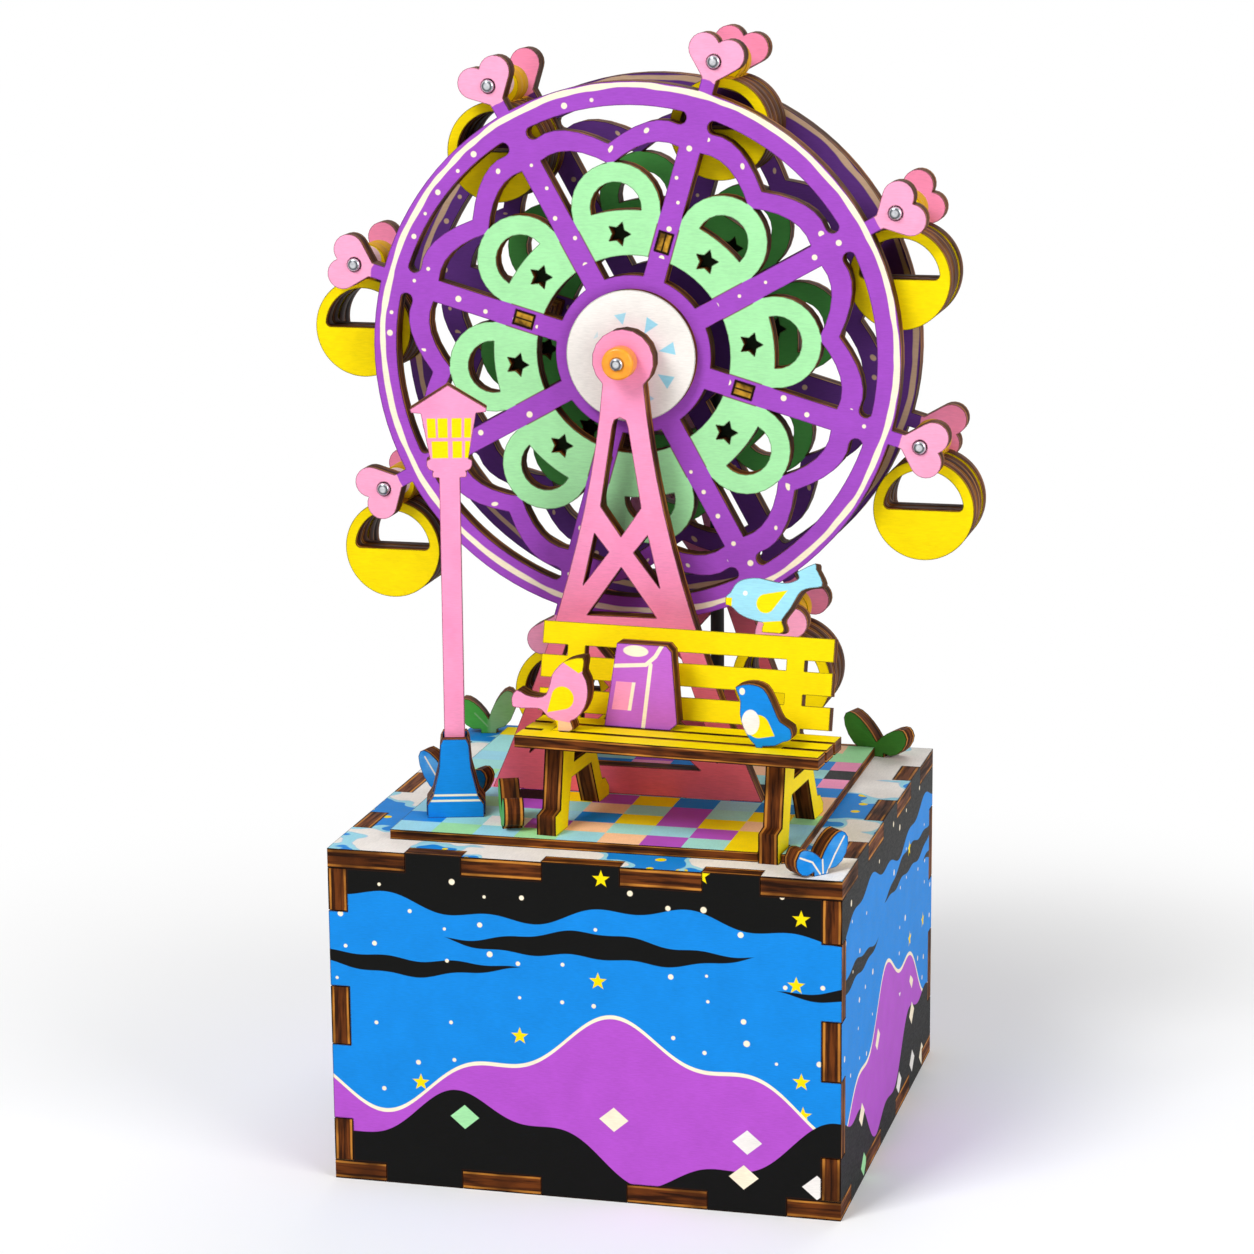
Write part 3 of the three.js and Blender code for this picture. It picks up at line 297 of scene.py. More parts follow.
def finishPlate(paint, face, start=0.0, ply=None, sides="both", faceRoughness=0.52, grainAcross=True, rimGold=None):
    f = finish
    edge, streaks = scorchedEdge(paint, start, ply)
    if rimGold:
        edge = paint.mix(rimGold * f["rimGold"], edge, "lugGold")
    grainStretch = [f["drawnOut"]] * 3
    grainStretch[({0: 2, 1: 2, 2: 1} if grainAcross else {0: 1, 1: 0, 2: 0})[paint.through]] = 1.0
    grain = paint.noise(f["grain"], 4.0, tuple(grainStretch))
    mottle = paint.noise(f["mottle"], 4.0, shift=3.0)
    fibres = paint.noise(f["fibres"], 2.0, tuple(grainStretch), shift=11.0)
    shade = paint.slope(grain, *f["middle"], *f["grainTone"]) + paint.slope(mottle, *f["middle"], *f["mottleTone"])
    shade = shade - paint.slope(fibres, 0.66, 0.8, 0.0, f["fibreTone"])
    printed = paint.mix(1.0, face, paint.combine(shade, shade, shade), "MULTIPLY")
    bothFaces = paint.slope(abs(paint.nw), *f["faceFrom"])
    faceMask = bothFaces
    if sides != "both":
        faceMask = paint.slope(paint.nw if sides == "high" else paint.nw * -1.0, *f["faceFrom"])
        edge = paint.mix(bothFaces, edge, paint.mix(grain, "woodDeep", "woodPale"))
    printed = paint.mix(burntLine(paint), printed, "scorchCore")
    paint.feed(paint.shader.inputs["Base Color"], paint.mix(faceMask, edge, printed))
    paint.shader.inputs["Specular IOR Level"].default_value = scorch["gloss"]
    faceRough = paint.slope(grain, *f["middle"], *[faceRoughness + part for part in f["roughSpread"]])
    rough = faceRough * faceMask + paint.slope(streaks, *f["middle"], *f["edgeRough"]) * ~faceMask
    paint.feed(paint.shader.inputs["Roughness"], rough)
    height = grain * f["grainHeight"] + streaks * (faceMask * -f["streakHeight"] + f["streakHeight"])
    paint.relief(height, f["relief"], f["reliefDepth"])
    return paint.material


def dress(material, *names):
    for name in names:
        slots = nodes[name].data.materials
        slots.clear()
        slots.append(material)


# the wheel: purple plates with a cream rim line, scattered cream dots, mint petals and pink hearts
wheelPaint = {
    "rimLine": 40.3, "rimLineHalf": 0.43, "rimLineSlip": (0.35, 0.42), "rimLineWander": 0.42,
    "spokeDotPitch": 4.3, "dotSmall": 0.24, "dotLarge": 0.5,
    "bandDotDegrees": 5.2, "rimDotDegrees": 6.0, "rimDotRadius": 38.7, "rimDotArc": (97, 179),
    "band": (34.2, 1.9, -5.5), "petalInner": 13.6, "petalOuter": 29.4, "spokeHalf": 1.74, "heartStart": 43.1,
}
frontInks = {"plate": "wheelPurple", "line": "cream", "petal": "mint", "heart": "heart"}
# the rear plate takes darker copies of the inks: painted shade for the shaded gap between the two plates
rearShadedInks = {"plate": "purpleShade", "line": "creamShade", "petal": "mintShade", "heart": "pinkShade"}


def wheelPolar(paint, slip=(0.0, 0.0)):
    x = paint.x - (toyPlaces["wheelX"] + slip[0])
    z = paint.z - (toyPlaces["wheelZ"] + slip[1])
    radius = paint.reach(x, z)
    return radius, paint.calc("ARCTAN2", z, x)


def spokePlaces(paint, radius, angle):  # number of the nearest spoke, and the place along and beside it
    sector = 2 * math.pi / toyPlaces["spokes"]
    turns = (angle - math.radians(toyPlaces["firstSpoke"])) / sector
    nearest = paint.calc("ROUND", turns)
    local = (turns - nearest) * sector
    along = radius * paint.calc("COSINE", local)
    aside = radius * paint.calc("SINE", local)
    number = nearest % float(toyPlaces["spokes"])
    return number, along, aside, abs(local / (sector / 2))


def dotMask(paint, away, luck, size, share):
    radius = paint.slope(size, 0.0, 1.0, wheelPaint["dotSmall"], wheelPaint["dotLarge"])
    return ~paint.over(away, radius, 0.07) & paint.over(luck, 1.0 - share, 0.001)


def ringDots(paint, radius, angle, degrees, middleRadius, spread, share, seed):  # spots along a ring of given radius
    step = math.radians(degrees)
    cell = paint.calc("FLOOR", angle / step)
    luck, (first, second, third) = paint.chance(paint.combine(cell, seed, float(seed) + 0.5))
    middle = (cell + paint.slope(second, 0.0, 1.0, 0.35, 0.65)) * step
    aside = (angle - middle) * radius
    up = radius - middleRadius - paint.slope(first, 0.0, 1.0, -spread, spread)
    return dotMask(paint, paint.reach(aside, up), luck, third, share)


def wheelMaterial(name, backY, seed, tones):
    paint, values = Paint(name), wheelPaint
    radius, angle = wheelPolar(paint)
    number, along, aside, swing = spokePlaces(paint, radius, angle)

    # dots along each spoke, along the scalloped band and inside the rim
    pitch = values["spokeDotPitch"]
    cell = paint.calc("FLOOR", along / pitch)
    luck, (first, second, third) = paint.chance(paint.combine(cell, number, float(seed)))
    middle = (cell + paint.slope(first, 0.0, 1.0, 0.3, 0.7)) * pitch
    away = paint.reach(along - middle, aside - paint.slope(second, 0.0, 1.0, -0.8, 0.8))
    spokeDots = dotMask(paint, away, luck, third, 0.75) & paint.over(radius, 15.5)
    spokeDots = spokeDots & ~paint.over(abs(aside), 1.7) & ~paint.over(radius, values["rimLine"] - 1.2)
    base, rise, fall = values["band"]
    bandRadius = swing * (swing * fall + rise) + base
    beside = paint.over(abs(aside), 2.3)
    bandDots = ringDots(paint, radius, angle, values["bandDotDegrees"], bandRadius, 0.7, 0.36, seed + 10) & beside
    rimDots = ringDots(paint, radius, angle, values["rimDotDegrees"], values["rimDotRadius"], 0.35, 0.6, seed + 20)
    rimDots = rimDots & paint.band(angle, *[math.radians(end) for end in values["rimDotArc"]]) & beside

    # line round the rim, a little off centre as printed
    slipped, _ = wheelPolar(paint, values["rimLineSlip"])
    wander = (paint.noise(0.11, 1.0, shift=float(seed)) - 0.5) * (values["rimLineWander"] * 2)
    offLine = abs(slipped + wander - values["rimLine"])
    half = values["rimLineHalf"]
    width = paint.slope(paint.noise(0.2, 1.0, shift=4.0), 0.35, 0.65, half * 0.8, half * 1.2)
    rimLine = ~paint.over(offLine, width, 0.07)

    betweenSpokes = paint.over(abs(aside), values["spokeHalf"])
    petals = betweenSpokes & paint.band(radius, values["petalInner"], values["petalOuter"])
    joint = paint.band(abs(aside), values["spokeHalf"] - 0.1, values["spokeHalf"] + 0.1)
    joint = joint & paint.band(radius, values["petalInner"], 20.5)
    face = paint.mix(spokeDots | bandDots | rimDots | rimLine, tones["plate"], tones["line"])
    face = paint.mix(petals, face, tones["petal"])
    face = paint.mix(joint * 0.7, face, "scorchBrown")
    face = paint.mix(paint.over(along, paint.noise(0.5, 1.0) + (values["heartStart"] - 0.5), 0.08), face,
                     tones["heart"])
    return finishPlate(paint, face, start=backY, faceRoughness=0.5)


dress(wheelMaterial("wheelFrontPrint", toyPlaces["frontPlateY"], 3, frontInks), "front_wheel_plate")
dress(wheelMaterial("wheelRearPrintShaded", toyPlaces["rearPlateY"], 8, rearShadedInks), "rear_wheel_plate")
print("wheel plates printed")

hubPaint = {  # each triangle's direction in degrees, outer and inner radius, half width, strength
    "triangles": [(-32.0, 7.4, 5.0, 1.1, 1.0), (11.4, 7.0, 4.5, 1.0, 1.0), (57.8, 6.5, 4.1, 1.05, 1.0),
                  (104.0, 6.6, 4.9, 0.95, 0.9), (151.0, 6.3, 5.8, 0.7, 0.4), (-63.5, 7.4, 6.7, 0.4, 0.8)],
}


def hubMaterial():
    paint = Paint("hubPrint")
    x = paint.x - toyPlaces["wheelX"]
    z = paint.z - toyPlaces["wheelZ"]
    face = "white"
    for direction, outer, inner, half, strength in hubPaint["triangles"]:
        cos, sin = math.cos(math.radians(direction)), math.sin(math.radians(direction))
        along = x * cos + z * sin
        aside = abs(z * cos + x * -sin)
        side = paint.slope(along, inner, outer, 0.0, half)
        triangle = paint.over(side - aside, 0.0) & paint.band(along, inner, outer)
        face = paint.mix(triangle * strength, face, "paleBlue")
    return finishPlate(paint, face, start=0.0, ply=toyPlaces["thinPly"], faceRoughness=0.55)


# frames, bench, bare wood: one ink each, with a soft second tone where the print is uneven
def plainMaterial(name, under, over, tone=0.4, start=0.0, ply=None, **where):
    paint = Paint(name, **where)
    patches = paint.patchy(tone)
    return finishPlate(paint, paint.mix(patches, under, over), start=start, ply=ply)


spacerPaint = {"radius": 17.9, "along": 1.55, "across": 1.1, "frame": 0.24, "core": 0.13}


def spacerMaterial():  # its end shows the sheet edge-on: golden veneers either side of a burnt line
    paint, values = Paint("spacerWood"), spacerPaint
    radius, angle = wheelPolar(paint)
    _, along, aside, _ = spokePlaces(paint, radius, angle)
    off = abs(aside)
    far = abs(along - values["radius"])
    grain = paint.noise(0.9, 2.0)
    gold = paint.mix(paint.slope(grain + aside * 0.25, 0.3, 0.75), "slotGold", "slotOlive")
    dark = ~paint.over(off, values["core"], 0.08) | paint.over(off, values["across"] - values["frame"], 0.1)
    dark = dark | paint.over(far, values["along"] - values["frame"], 0.1)
    return finishPlate(paint, paint.mix(dark, gold, "scorchBlack"), start=1.5)


framePaint = {"deepBelow": 66.0, "fadeTo": 90.0}


def frameMaterial(name, start):  # the pink deepens towards the foot
    paint = Paint(name)
    patches = paint.patchy(0.4)
    foot = paint.slope(paint.v, framePaint["fadeTo"], framePaint["deepBelow"])
    return finishPlate(paint, paint.mix(foot, paint.mix(patches, "pink", "pinkDeep"), "frameLow"), start=start)


dress(frameMaterial("frameFrontPink", -4.9), "front_frame")
dress(frameMaterial("frameRearPink", 28.0), "rear_frame")
benchPlace = {"place": toyPlaces["bench"], "turn": toyPlaces["benchTurn"]}
backPlace = {"lean": 14.0, "leanPlace": (-1.6, 13.0, 14.36)}
for name, benchNode, where in [
    ("benchSeatYellow", "bench_seat", {"facing": "flat", "start": 13.6, "ply": 1.9}),
    ("benchLegYellow", "bench_leg_left", {"facing": "side", "start": -20.44}),
    ("benchLegRightYellow", "bench_leg_right", {"facing": "side", "start": 13.9}),
    ("benchBackYellow", "bench_back", {"ply": 1.9, **backPlace}),
]:
    dress(plainMaterial(name, "yellow", "yellowWarm", **benchPlace, **where), benchNode)
dress(spacerMaterial(), "spacer_1", "spacer_2", "spacer_3", "spacer_4")
print("frames and bench printed")

# box: a made-up hill country under black cloud bands, printed on the outer faces
boxPaint = {  # hills and clouds: middle height, then reach, pitch and start of two waves
    "purpleHill": (20.5, 6.5, 0.085, 1.1, 2.2, 0.27, 0.4), "blackHill": (9.0, 5.2, 0.105, 3.4, 1.6, 0.33, 2.0),
    "topCloud": (44.2, 1.5, 0.13, 0.0, 0.7, 0.41, 1.0), "edgeLine": 0.6,
    "streaks": [(39.3, 1.9, 0.067, 1.4), (34.8, 1.3, 0.081, 3.9)], "skyDots": (5.6, 0.22, 0.5, 0.5),
    "starCell": (15.0, 9.5), "starRadius": 1.35, "starShare": 0.32,
    "patchCell": (10.5, 8.2), "patchReach": 1.9, "patchShare": 0.42, "patchBelow": 4.0,
    "patchInks": [(0.0, "mint"), (0.4, "cream"), (0.75, "white")],
}


def wave(paint, u, values):
    base, firstReach, firstPitch, firstStart, secondReach, secondPitch, secondStart = values
    first = paint.calc("SINE", u * firstPitch + firstStart) * firstReach
    second = paint.calc("SINE", u * secondPitch + secondStart) * secondReach
    return first + second + base


def starMask(paint, across, up, radius, waist=0.42):
    reach = paint.reach(across, up)
    turns = paint.calc("ARCTAN2", across, up) / math.radians(72)
    local = (turns - paint.calc("ROUND", turns)) * math.radians(72)
    along = reach * paint.calc("COSINE", local)
    aside = abs(reach * paint.calc("SINE", local))
    inner = (radius * waist * math.cos(math.radians(36)) - radius, radius * waist * math.sin(math.radians(36)))
    length = math.hypot(*inner)
    side = aside * (inner[0] / length) - (along - radius) * (inner[1] / length)
    return paint.over(side, 0.0)


def boxMaterial(name, facing, start, sides, shift, seed):
    paint, values = Paint(name, facing=facing), boxPaint
    u, v = paint.u + shift, paint.v
    across, up, luck, _ = paint.cells(u, v, *values["starCell"], 0.7, seed + 40)
    stars = starMask(paint, across, up, values["starRadius"]) & ~paint.over(luck, values["starShare"], 0.001)
    skyDots = paint.dots(u, v, *values["skyDots"], seed)
    clouds = paint.over(v, wave(paint, u, values["topCloud"]))
    for height, half, pitch, begin in values["streaks"]:
        swell = paint.calc("SINE", u * pitch + begin) * half
        ripple = wave(paint, u, (height, 0.5, 0.21, begin, 0.25, 0.63, 2 * begin))
        clouds = clouds | paint.over(swell - abs(v - ripple), 0.0)
    purpleTop, blackTop = wave(paint, u, values["purpleHill"]), wave(paint, u, values["blackHill"])
    across, up, luck, tint = paint.cells(u, v, *values["patchCell"], 0.5, seed + 80)
    patches = ~paint.over(abs(across * 0.85) + abs(up), values["patchReach"])
    patches = patches & ~paint.over(luck, values["patchShare"], 0.001)
    patches = patches & ~paint.over(v, purpleTop - values["patchBelow"])
    face = paint.layer("blue", (clouds, "black"), (skyDots, "cream"), (stars, "yellow"),
                       (~paint.over(v, purpleTop), "cream"), (~paint.over(v, purpleTop - values["edgeLine"]), "purple"),
                       (~paint.over(v, blackTop), "black"), (patches, paint.ramp(tint, values["patchInks"])))
    return finishPlate(paint, face, start=start, sides=sides, faceRoughness=0.5)


for number, (name, facing, start, sides, shift) in enumerate([
    ("front_panel", "front", -38.5, "low", 0.0), ("rear_panel", "front", 35.5, "high", 57.0),
    ("left_panel", "side", -39.0, "low", 112.0), ("right_panel", "side", 36.0, "high", 77.5),
]):
    dress(boxMaterial(name + "Print", facing, start, sides, shift, 3 + number), name)

topPaint = {"splash": 0.075, "level": 0.52, "soft": 0.004, "trim": (-0.035, -0.031), "dots": (4.6, 0.45, 0.95, 0.5, 12)}


def topMaterial():
    paint, values = Paint("topPlatePrint", facing="flat"), topPaint
    level, soft = values["level"], values["soft"]
    drift = paint.noise(values["splash"], 2.0, shift=21.0)
    splash = paint.slope(drift, level - soft, level + soft)
    trim = paint.slope(drift, *[level + part for part in values["trim"]])
    face = paint.layer("blue", (trim & ~splash, "paleBlue"), (splash, "white"),
                       (paint.dots(paint.u, paint.v, *values["dots"]) & ~trim, "yellow"))
    return finishPlate(paint, face, start=49.0, sides="high", faceRoughness=0.5, grainAcross=False)


floorPaint = {
    "tileWidth": 6.4, "tileDepth": 5.3, "fromX": -31.3, "fromY": -31.7, "seed": 4.0,
    "inks": [(0.0, "cyan"), (0.2, "paleBlue"), (0.34, "yellow"), (0.47, "blue"), (0.6, "mint"),
             (0.7, "peach"), (0.79, "black"), (0.86, "purple"), (0.92, "pink"), (0.96, "white")],
}


def floorMaterial():
    paint, values = Paint("floorPlateTiles", facing="flat"), floorPaint
    column = paint.calc("FLOOR", (paint.u - values["fromX"]) / values["tileWidth"])
    row = paint.calc("FLOOR", (paint.v - values["fromY"]) / values["tileDepth"])
    luck, _ = paint.chance(paint.combine(column, row, values["seed"]))
    return finishPlate(paint, paint.ramp(luck, values["inks"]), start=52.0, ply=toyPlaces["thinPly"], sides="high",
                       grainAcross=False)


dress(topMaterial(), "top_plate")
dress(floorMaterial(), "floor_plate")
for name, where, *woodNodes in [
    ("bareWood", {"facing": "flat"}, "bottom_plate"), ("bearingWood", {"start": 12.0}, "inner_bearing"),
    ("pulleyWood", {"start": 21.5, "ply": 1.87}, "wheel_pulley", "crank_pulley"),
    ("armWood", {"start": 39.3}, "crank_arm"),
]:
    dress(plainMaterial(name, "woodPale", "woodDeep", tone=0.6, **where), *woodNodes)
print("box, top and floor plates printed")

# lamp, birds, bag and leaves: simple shapes printed on each plate, measured from its own foot
lampPaint = {
    "panes": [(-3.25, -1.95, 58.0, 60.95), (-1.65, -0.15, 58.0, 60.95), (0.45, 1.95, 58.0, 60.95),
              (2.35, 3.4, 58.0, 60.95), (-2.7, -0.15, 54.95, 57.5), (0.55, 2.05, 54.95, 57.5),
              (2.5, 3.3, 54.95, 57.5)],
    "taper": 0.09, "baseLines": [2.65, 3.5], "baseLineHalf": 0.16,
}
benchZ = toyPlaces["seatHeight"]
seatedPlaces = {"bird_pink": (-19.12, 4.0), "bird_blue": (14.15, 3.0), "bag": (-6.71, 9.0)}
perchedPlace = (13.05, 15.6)


def lampMaterials():
    where = {"place": toyPlaces["lamp"], "turn": toyPlaces["lampTurn"]}
    paint = Paint("lampPostPrint", **where)
    across = paint.u * (paint.slope(paint.v, 61.0, 54.0, 0.0, lampPaint["taper"]) + 1.0)
    panes = paint.either([paint.band(across, left, right, 0.06) & paint.band(paint.v, low, high, 0.06)
                          for left, right, low, high in lampPaint["panes"]])
    patches = paint.slope(paint.noise(0.12, 2.0), 0.45, 0.65, 0.0, 0.35)
    post = finishPlate(paint, paint.mix(panes, paint.mix(patches, "pink", "pinkDeep"), "yellow"))
    paint = Paint("lampBasePrint", **where)
    half = lampPaint["baseLineHalf"]
    lines = paint.either([paint.band(paint.v, line - half, line + half) for line in lampPaint["baseLines"]])
    base = finishPlate(paint, paint.mix(lines, "blue", "cream"), start=-1.8, sides="low")
    return post, base


def teardrop(paint, u, v, centre, radius, tip):  # a round spot drawn out to a point at tip
    run = Vector((tip[0] - centre[0], tip[1] - centre[1]))
    unit = run.normalized()
    across = u - centre[0]
    up = v - centre[1]
    along = across * unit.x + up * unit.y
    aside = abs(up * unit.x + across * -unit.y)
    touch = math.asin(radius / run.length)
    slant = aside * math.cos(touch) + along * math.sin(touch)
    cone = ~paint.over(slant, radius, 0.06) & paint.over(along, radius * math.sin(touch))
    return paint.disc(u, v, *centre, radius, soft=0.06) | cone


def seated(name):
    paint = Paint(name + "Print", place=toyPlaces["bench"], turn=toyPlaces["benchTurn"])
    x, y = seatedPlaces[name]
    return paint, paint.u - x, paint.v - benchZ, y


birdPaint = {  # wings: centre, radius, tip; eyes and breast: centre, half width, half height, tilt
    "pinkWing": ((2.05, 5.1), 1.75, (-0.45, 2.7)),
    "brow": {"middle": 4.6, "slope": 0.62, "low": 9.0, "foot": 8.98, "from": 1.9},
    "pinkFeet": (0.12, 1.75), "toes": {"slope": -0.6, "low": -1.7, "from": 1.3},
    "blueWing": ((-0.75, 3.2), 1.75, (1.75, 1.95)), "breast": (-1.9, 3.75, 1.35, 1.9, -4),
    "blueEye": (-3.15, 8.3, 0.42, 0.52, 0), "perchedWing": ((-1.1, 4.3), 1.42, (2.15, 6.45)),
    "perchedBeak": (-6.35, 4.85), "perchedEye": (-4.35, 5.65, 0.36), "perchedFeet": (-0.12, 1.7), "perchedStart": -0.55,
}


def birdMaterials():
    values, brow, toes = birdPaint, birdPaint["brow"], birdPaint["toes"]
    paint, u, v, depth = seated("bird_pink")
    browLine = abs(u - brow["middle"]) * brow["slope"] + brow["low"]
    slope, top = values["pinkFeet"]
    feet = ~paint.over(u * slope + v, top)
    face = paint.layer("pink", (teardrop(paint, u, v, *values["pinkWing"]), "yellow"),
                       (paint.over(v, browLine) & paint.over(v, brow["foot"]) & paint.over(u, brow["from"]), "yellow"),
                       (feet, "yellow"),
                       (feet & paint.over(u * toes["slope"] + v, toes["low"]) & paint.over(u, toes["from"]), "peach"))
    dress(finishPlate(paint, face, start=depth), "bird_pink")

    paint, u, v, depth = seated("bird_blue")
    face = paint.layer("blue", (teardrop(paint, u, v, *values["blueWing"]), "yellow"),
                       (paint.disc(u, v, *values["breast"]), "white"), (paint.disc(u, v, *values["blueEye"]), "cream"))
    dress(finishPlate(paint, face, start=depth), "bird_blue")

    paint = Paint("bird_perchedPrint", place=toyPlaces["bench"], turn=toyPlaces["benchTurn"], **backPlace)
    u, v = paint.u - perchedPlace[0], paint.v - perchedPlace[1]
    beakU, beakV = values["perchedBeak"]
    slope, top = values["perchedFeet"]
    face = paint.layer("paleBlue", (teardrop(paint, u, v, *values["perchedWing"]), "yellow"),
                       (~paint.over(u, beakU) & ~paint.over(v, beakV), "yellow"),
                       (paint.disc(u, v, *values["perchedEye"]), "white"), (~paint.over(u * slope + v, top), "yellow"))
    dress(finishPlate(paint, face, start=values["perchedStart"]), "bird_perched")


bagPaint = {
    "strokes": [((-3.9, 9.3), (1.0, 9.75)), ((1.0, 9.75), (2.5, 11.1)), ((2.5, 11.1), (3.9, 13.4)),
                ((1.75, 9.8), (0.45, -0.3))],
    "half": 0.3, "label": (-0.55, 11.75, 1.95, 0.85),
    "patchHeight": (2.6, 6.95), "patchSlant": -0.17, "patch": (-4.85, -2.35), "patchRim": (-2.35, -1.8),
}


def bagMaterial():
    paint, u, v, depth = seated("bag")
    values = bagPaint
    lines = paint.either([paint.stroke(u, v, start, end, values["half"]) for start, end in values["strokes"]])
    slant = v * values["patchSlant"] + u
    patch = paint.band(v, *values["patchHeight"])
    face = paint.layer("bagPurple", (lines, "cream"), (paint.disc(u, v, *values["label"]), "cream"),
                       (patch & paint.band(slant, *values["patch"]), "pink"),
                       (patch & paint.band(slant, *values["patchRim"]), "cream"))
    return finishPlate(paint, face, start=depth)


sprigPrints = {  # foot, turn about it, ink of the left leaf, of the right leaf, rib ink, rib strength, ribs
    "leaf_rear_left": ((-35.1, 34.0, 52.0), 10, "leafLight", "leafPale", "leafPale", 0.7, [((-0.2, 1.2), (-2.3, 3.4))]),
    "leaf_rear_right": ((31.3, 33.0, 52.0), -17, "leafDark", "leafDark", "leafLight", 0.15,
                        [((0.0, 2.2), (-4.2, 5.4))]),
    "leaf_lamp": ((-26.2, -13.4, 53.5), -12, "blue", "blue", "cream", 0.9, [((-1.5, 1.6), (-4.9, 6.6))]),
    "leaf_front_right": ((34.33, -35.09, 52.0), 48, "blue", "blue", "cream", 0.95,
                         [((-0.2, 0.2), (-1.6, 2.2)), ((-1.6, 2.2), (-3.8, 3.2)), ((0.3, 0.3), (0.2, 2.3)),
                          ((1.0, 0.2), (2.4, 2.7)), ((2.4, 2.7), (4.1, 5.2))]),
    "leaf_front_left": ((-13.99, -26.01, 53.5), -68, "leafMid", "leafMid", "leafPale", 0.4,
                        [((0.0, 2.0), (-3.6, 5.6))]),
}


def leafMaterial(name):
    place, turn, left, right, rib, strength, ribs = sprigPrints[name]
    paint = Paint(name + "Print", place=place, turn=turn)
    cloudy = paint.slope(paint.v, 2.0, 8.0, 0.1, 0.4) * paint.slope(paint.noise(0.25, 2.0), 0.4, 0.6)
    face = paint.mix(paint.over(paint.u, 0.0, 0.4), left, right)
    face = paint.mix(cloudy, face, "paleBlue" if left == "blue" else "leafLight")
    lines = paint.either([paint.stroke(paint.u, paint.v, start, end, 0.13) for start, end in ribs])
    return finishPlate(paint, paint.mix(lines * strength, face, rib), start=-1.5)


lampPost, lampBase = lampMaterials()
dress(lampPost, "lamp_post")
dress(lampBase, "lamp_base")
birdMaterials()
dress(bagMaterial(), "bag")
for name in sprigPrints:
    dress(leafMaterial(name), name)
print("lamp, birds, bag and leaves printed")


# pieces made here
def linkNew(name, data):
    made = bpy.data.objects.new(name, data)
    bpy.context.scene.collection.objects.link(made)
    return made


def addPiece(name, vertices, faces, material):
    mesh = bpy.data.meshes.new(name)
    mesh.from_pydata(vertices, [], faces)
    mesh.validate()
    mesh.materials.append(material)
    return linkNew(name, mesh)


def handOver(piece, body, slotName, *stoodFor):
    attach(piece, body)
    if stoodFor:
        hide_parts(*stoodFor)


def evaluatedMesh(piece, name):  # bakes the modifiers and curves of a helper object into a plain piece
    bpy.context.view_layer.update()
    mesh = bpy.data.meshes.new_from_object(piece.evaluated_get(bpy.context.evaluated_depsgraph_get()))
    bpy.data.objects.remove(piece)
    mesh.name = name
    return linkNew(name, mesh)


def lathe(profile, centre, steps=64, closed=True):  # (radius, y) pairs turned about a line along Y, in millimetres
    vertices, faces = [], []
    rings = []
    for radius, y in profile:
        if radius < 1e-6:
            rings.append([len(vertices)])
            vertices.append((centre[0] * mm, y * mm, centre[1] * mm))
            continue
        rings.append(list(range(len(vertices), len(vertices) + steps)))
        for i in range(steps):
            turn = 2 * math.pi * i / steps
            vertices.append(((centre[0] + radius * math.cos(turn)) * mm, y * mm,
                             (centre[1] + radius * math.sin(turn)) * mm))
    pairs = list(zip(rings, rings[1:])) + ([(rings[-1], rings[0])] if closed else [])
    for a, b in pairs:
        for i in range(steps):
            j = (i + 1) % steps
            corners = [a[i % len(a)], a[j % len(a)], b[j % len(b)], b[i % len(b)]]
            kept = [c for n, c in enumerate(corners) if c not in corners[:n]]
            if len(kept) > 2:
                faces.append(kept)
    return vertices, faces


def faceOutwards(piece):
    mesh = piece.data
    total = sum(p.area * p.normal.dot(p.center - mesh.vertices[0].co) for p in mesh.polygons)
    if total < 0:
        mesh.flip_normals()
    return piece


def sharpSmooth(piece, degrees=35):
    mesh = piece.data
    mesh.shade_smooth()
    mesh.set_sharp_from_angle(angle=math.radians(degrees))
    return piece


def turnedMaterial(name, colour, deep, roughness, bumpScale, bumpDepth, metallic=0.0, coat=0.0, ends=None):
    paint = Paint(name)
    drawn = paint.noise(bumpScale, 4.0, (1.0, 0.12, 1.0) if metallic else (1, 1, 1))
    tint = paint.mix(paint.slope(drawn, 0.3, 0.7), deep, colour)
    if ends:  # a darker ring on each pin's domed end and on the axle's: a painted dark reflection
        _, along, aside, _ = spokePlaces(paint, *wheelPolar(paint))
        fromPin = paint.reach(along - toyPlaces["pinRadius"], aside)
        nearest = paint.calc("MINIMUM", fromPin, paint.reach(along, aside))
        tint = paint.mix(paint.band(nearest, *ends, 0.12), tint, "steelDarkReflection")
    paint.feed(paint.shader.inputs["Base Color"], tint)
    paint.feed(paint.shader.inputs["Roughness"], paint.slope(drawn, 0.3, 0.7, roughness - 0.05, roughness + 0.07))
    paint.shader.inputs["Metallic"].default_value = metallic
    paint.shader.inputs["Coat Weight"].default_value = coat
    paint.relief(drawn, 0.35, bumpDepth)
    return paint.material


steelMaterial = turnedMaterial("drawnSteel", "steel", "steelDeep", 0.24, 1.4, 0.000008, metallic=1.0, ends=(0.5, 0.82))
rubberMaterial = turnedMaterial("beltRubber", "rubber", "rubberDeep", 0.72, 2.4, 0.00005)
bushMaterial = turnedMaterial("bushSilicone", "orange", "orangeDeep", 0.36, 0.8, 0.00003, coat=0.15)
knobMaterial = turnedMaterial("knobLacquer", "yellow", "yellowWarm", 0.3, 0.5, 0.00003, coat=0.4)

wheelCentre = (toyPlaces["wheelX"], toyPlaces["wheelZ"])
gondolaSizes = {
    "layers": 4, "discRadius": 7.75, "drop": 10.3, "wall": 1.6, "lugRadius": 2.9, "lugDrop": 0.5, "boreRadius": 1.15,
    "lugLayers": (1, 2), "slipLayer": 2, "floorStep": 1.5, "paleRadius": 2.2, "goldRadius": 3.5,
    "startY": 5.1, "slip": 0.12, "seam": 0.07, "bevel": 0.05, "steps": 80, "cornerRadius": 0.8, "seed": 11,
}


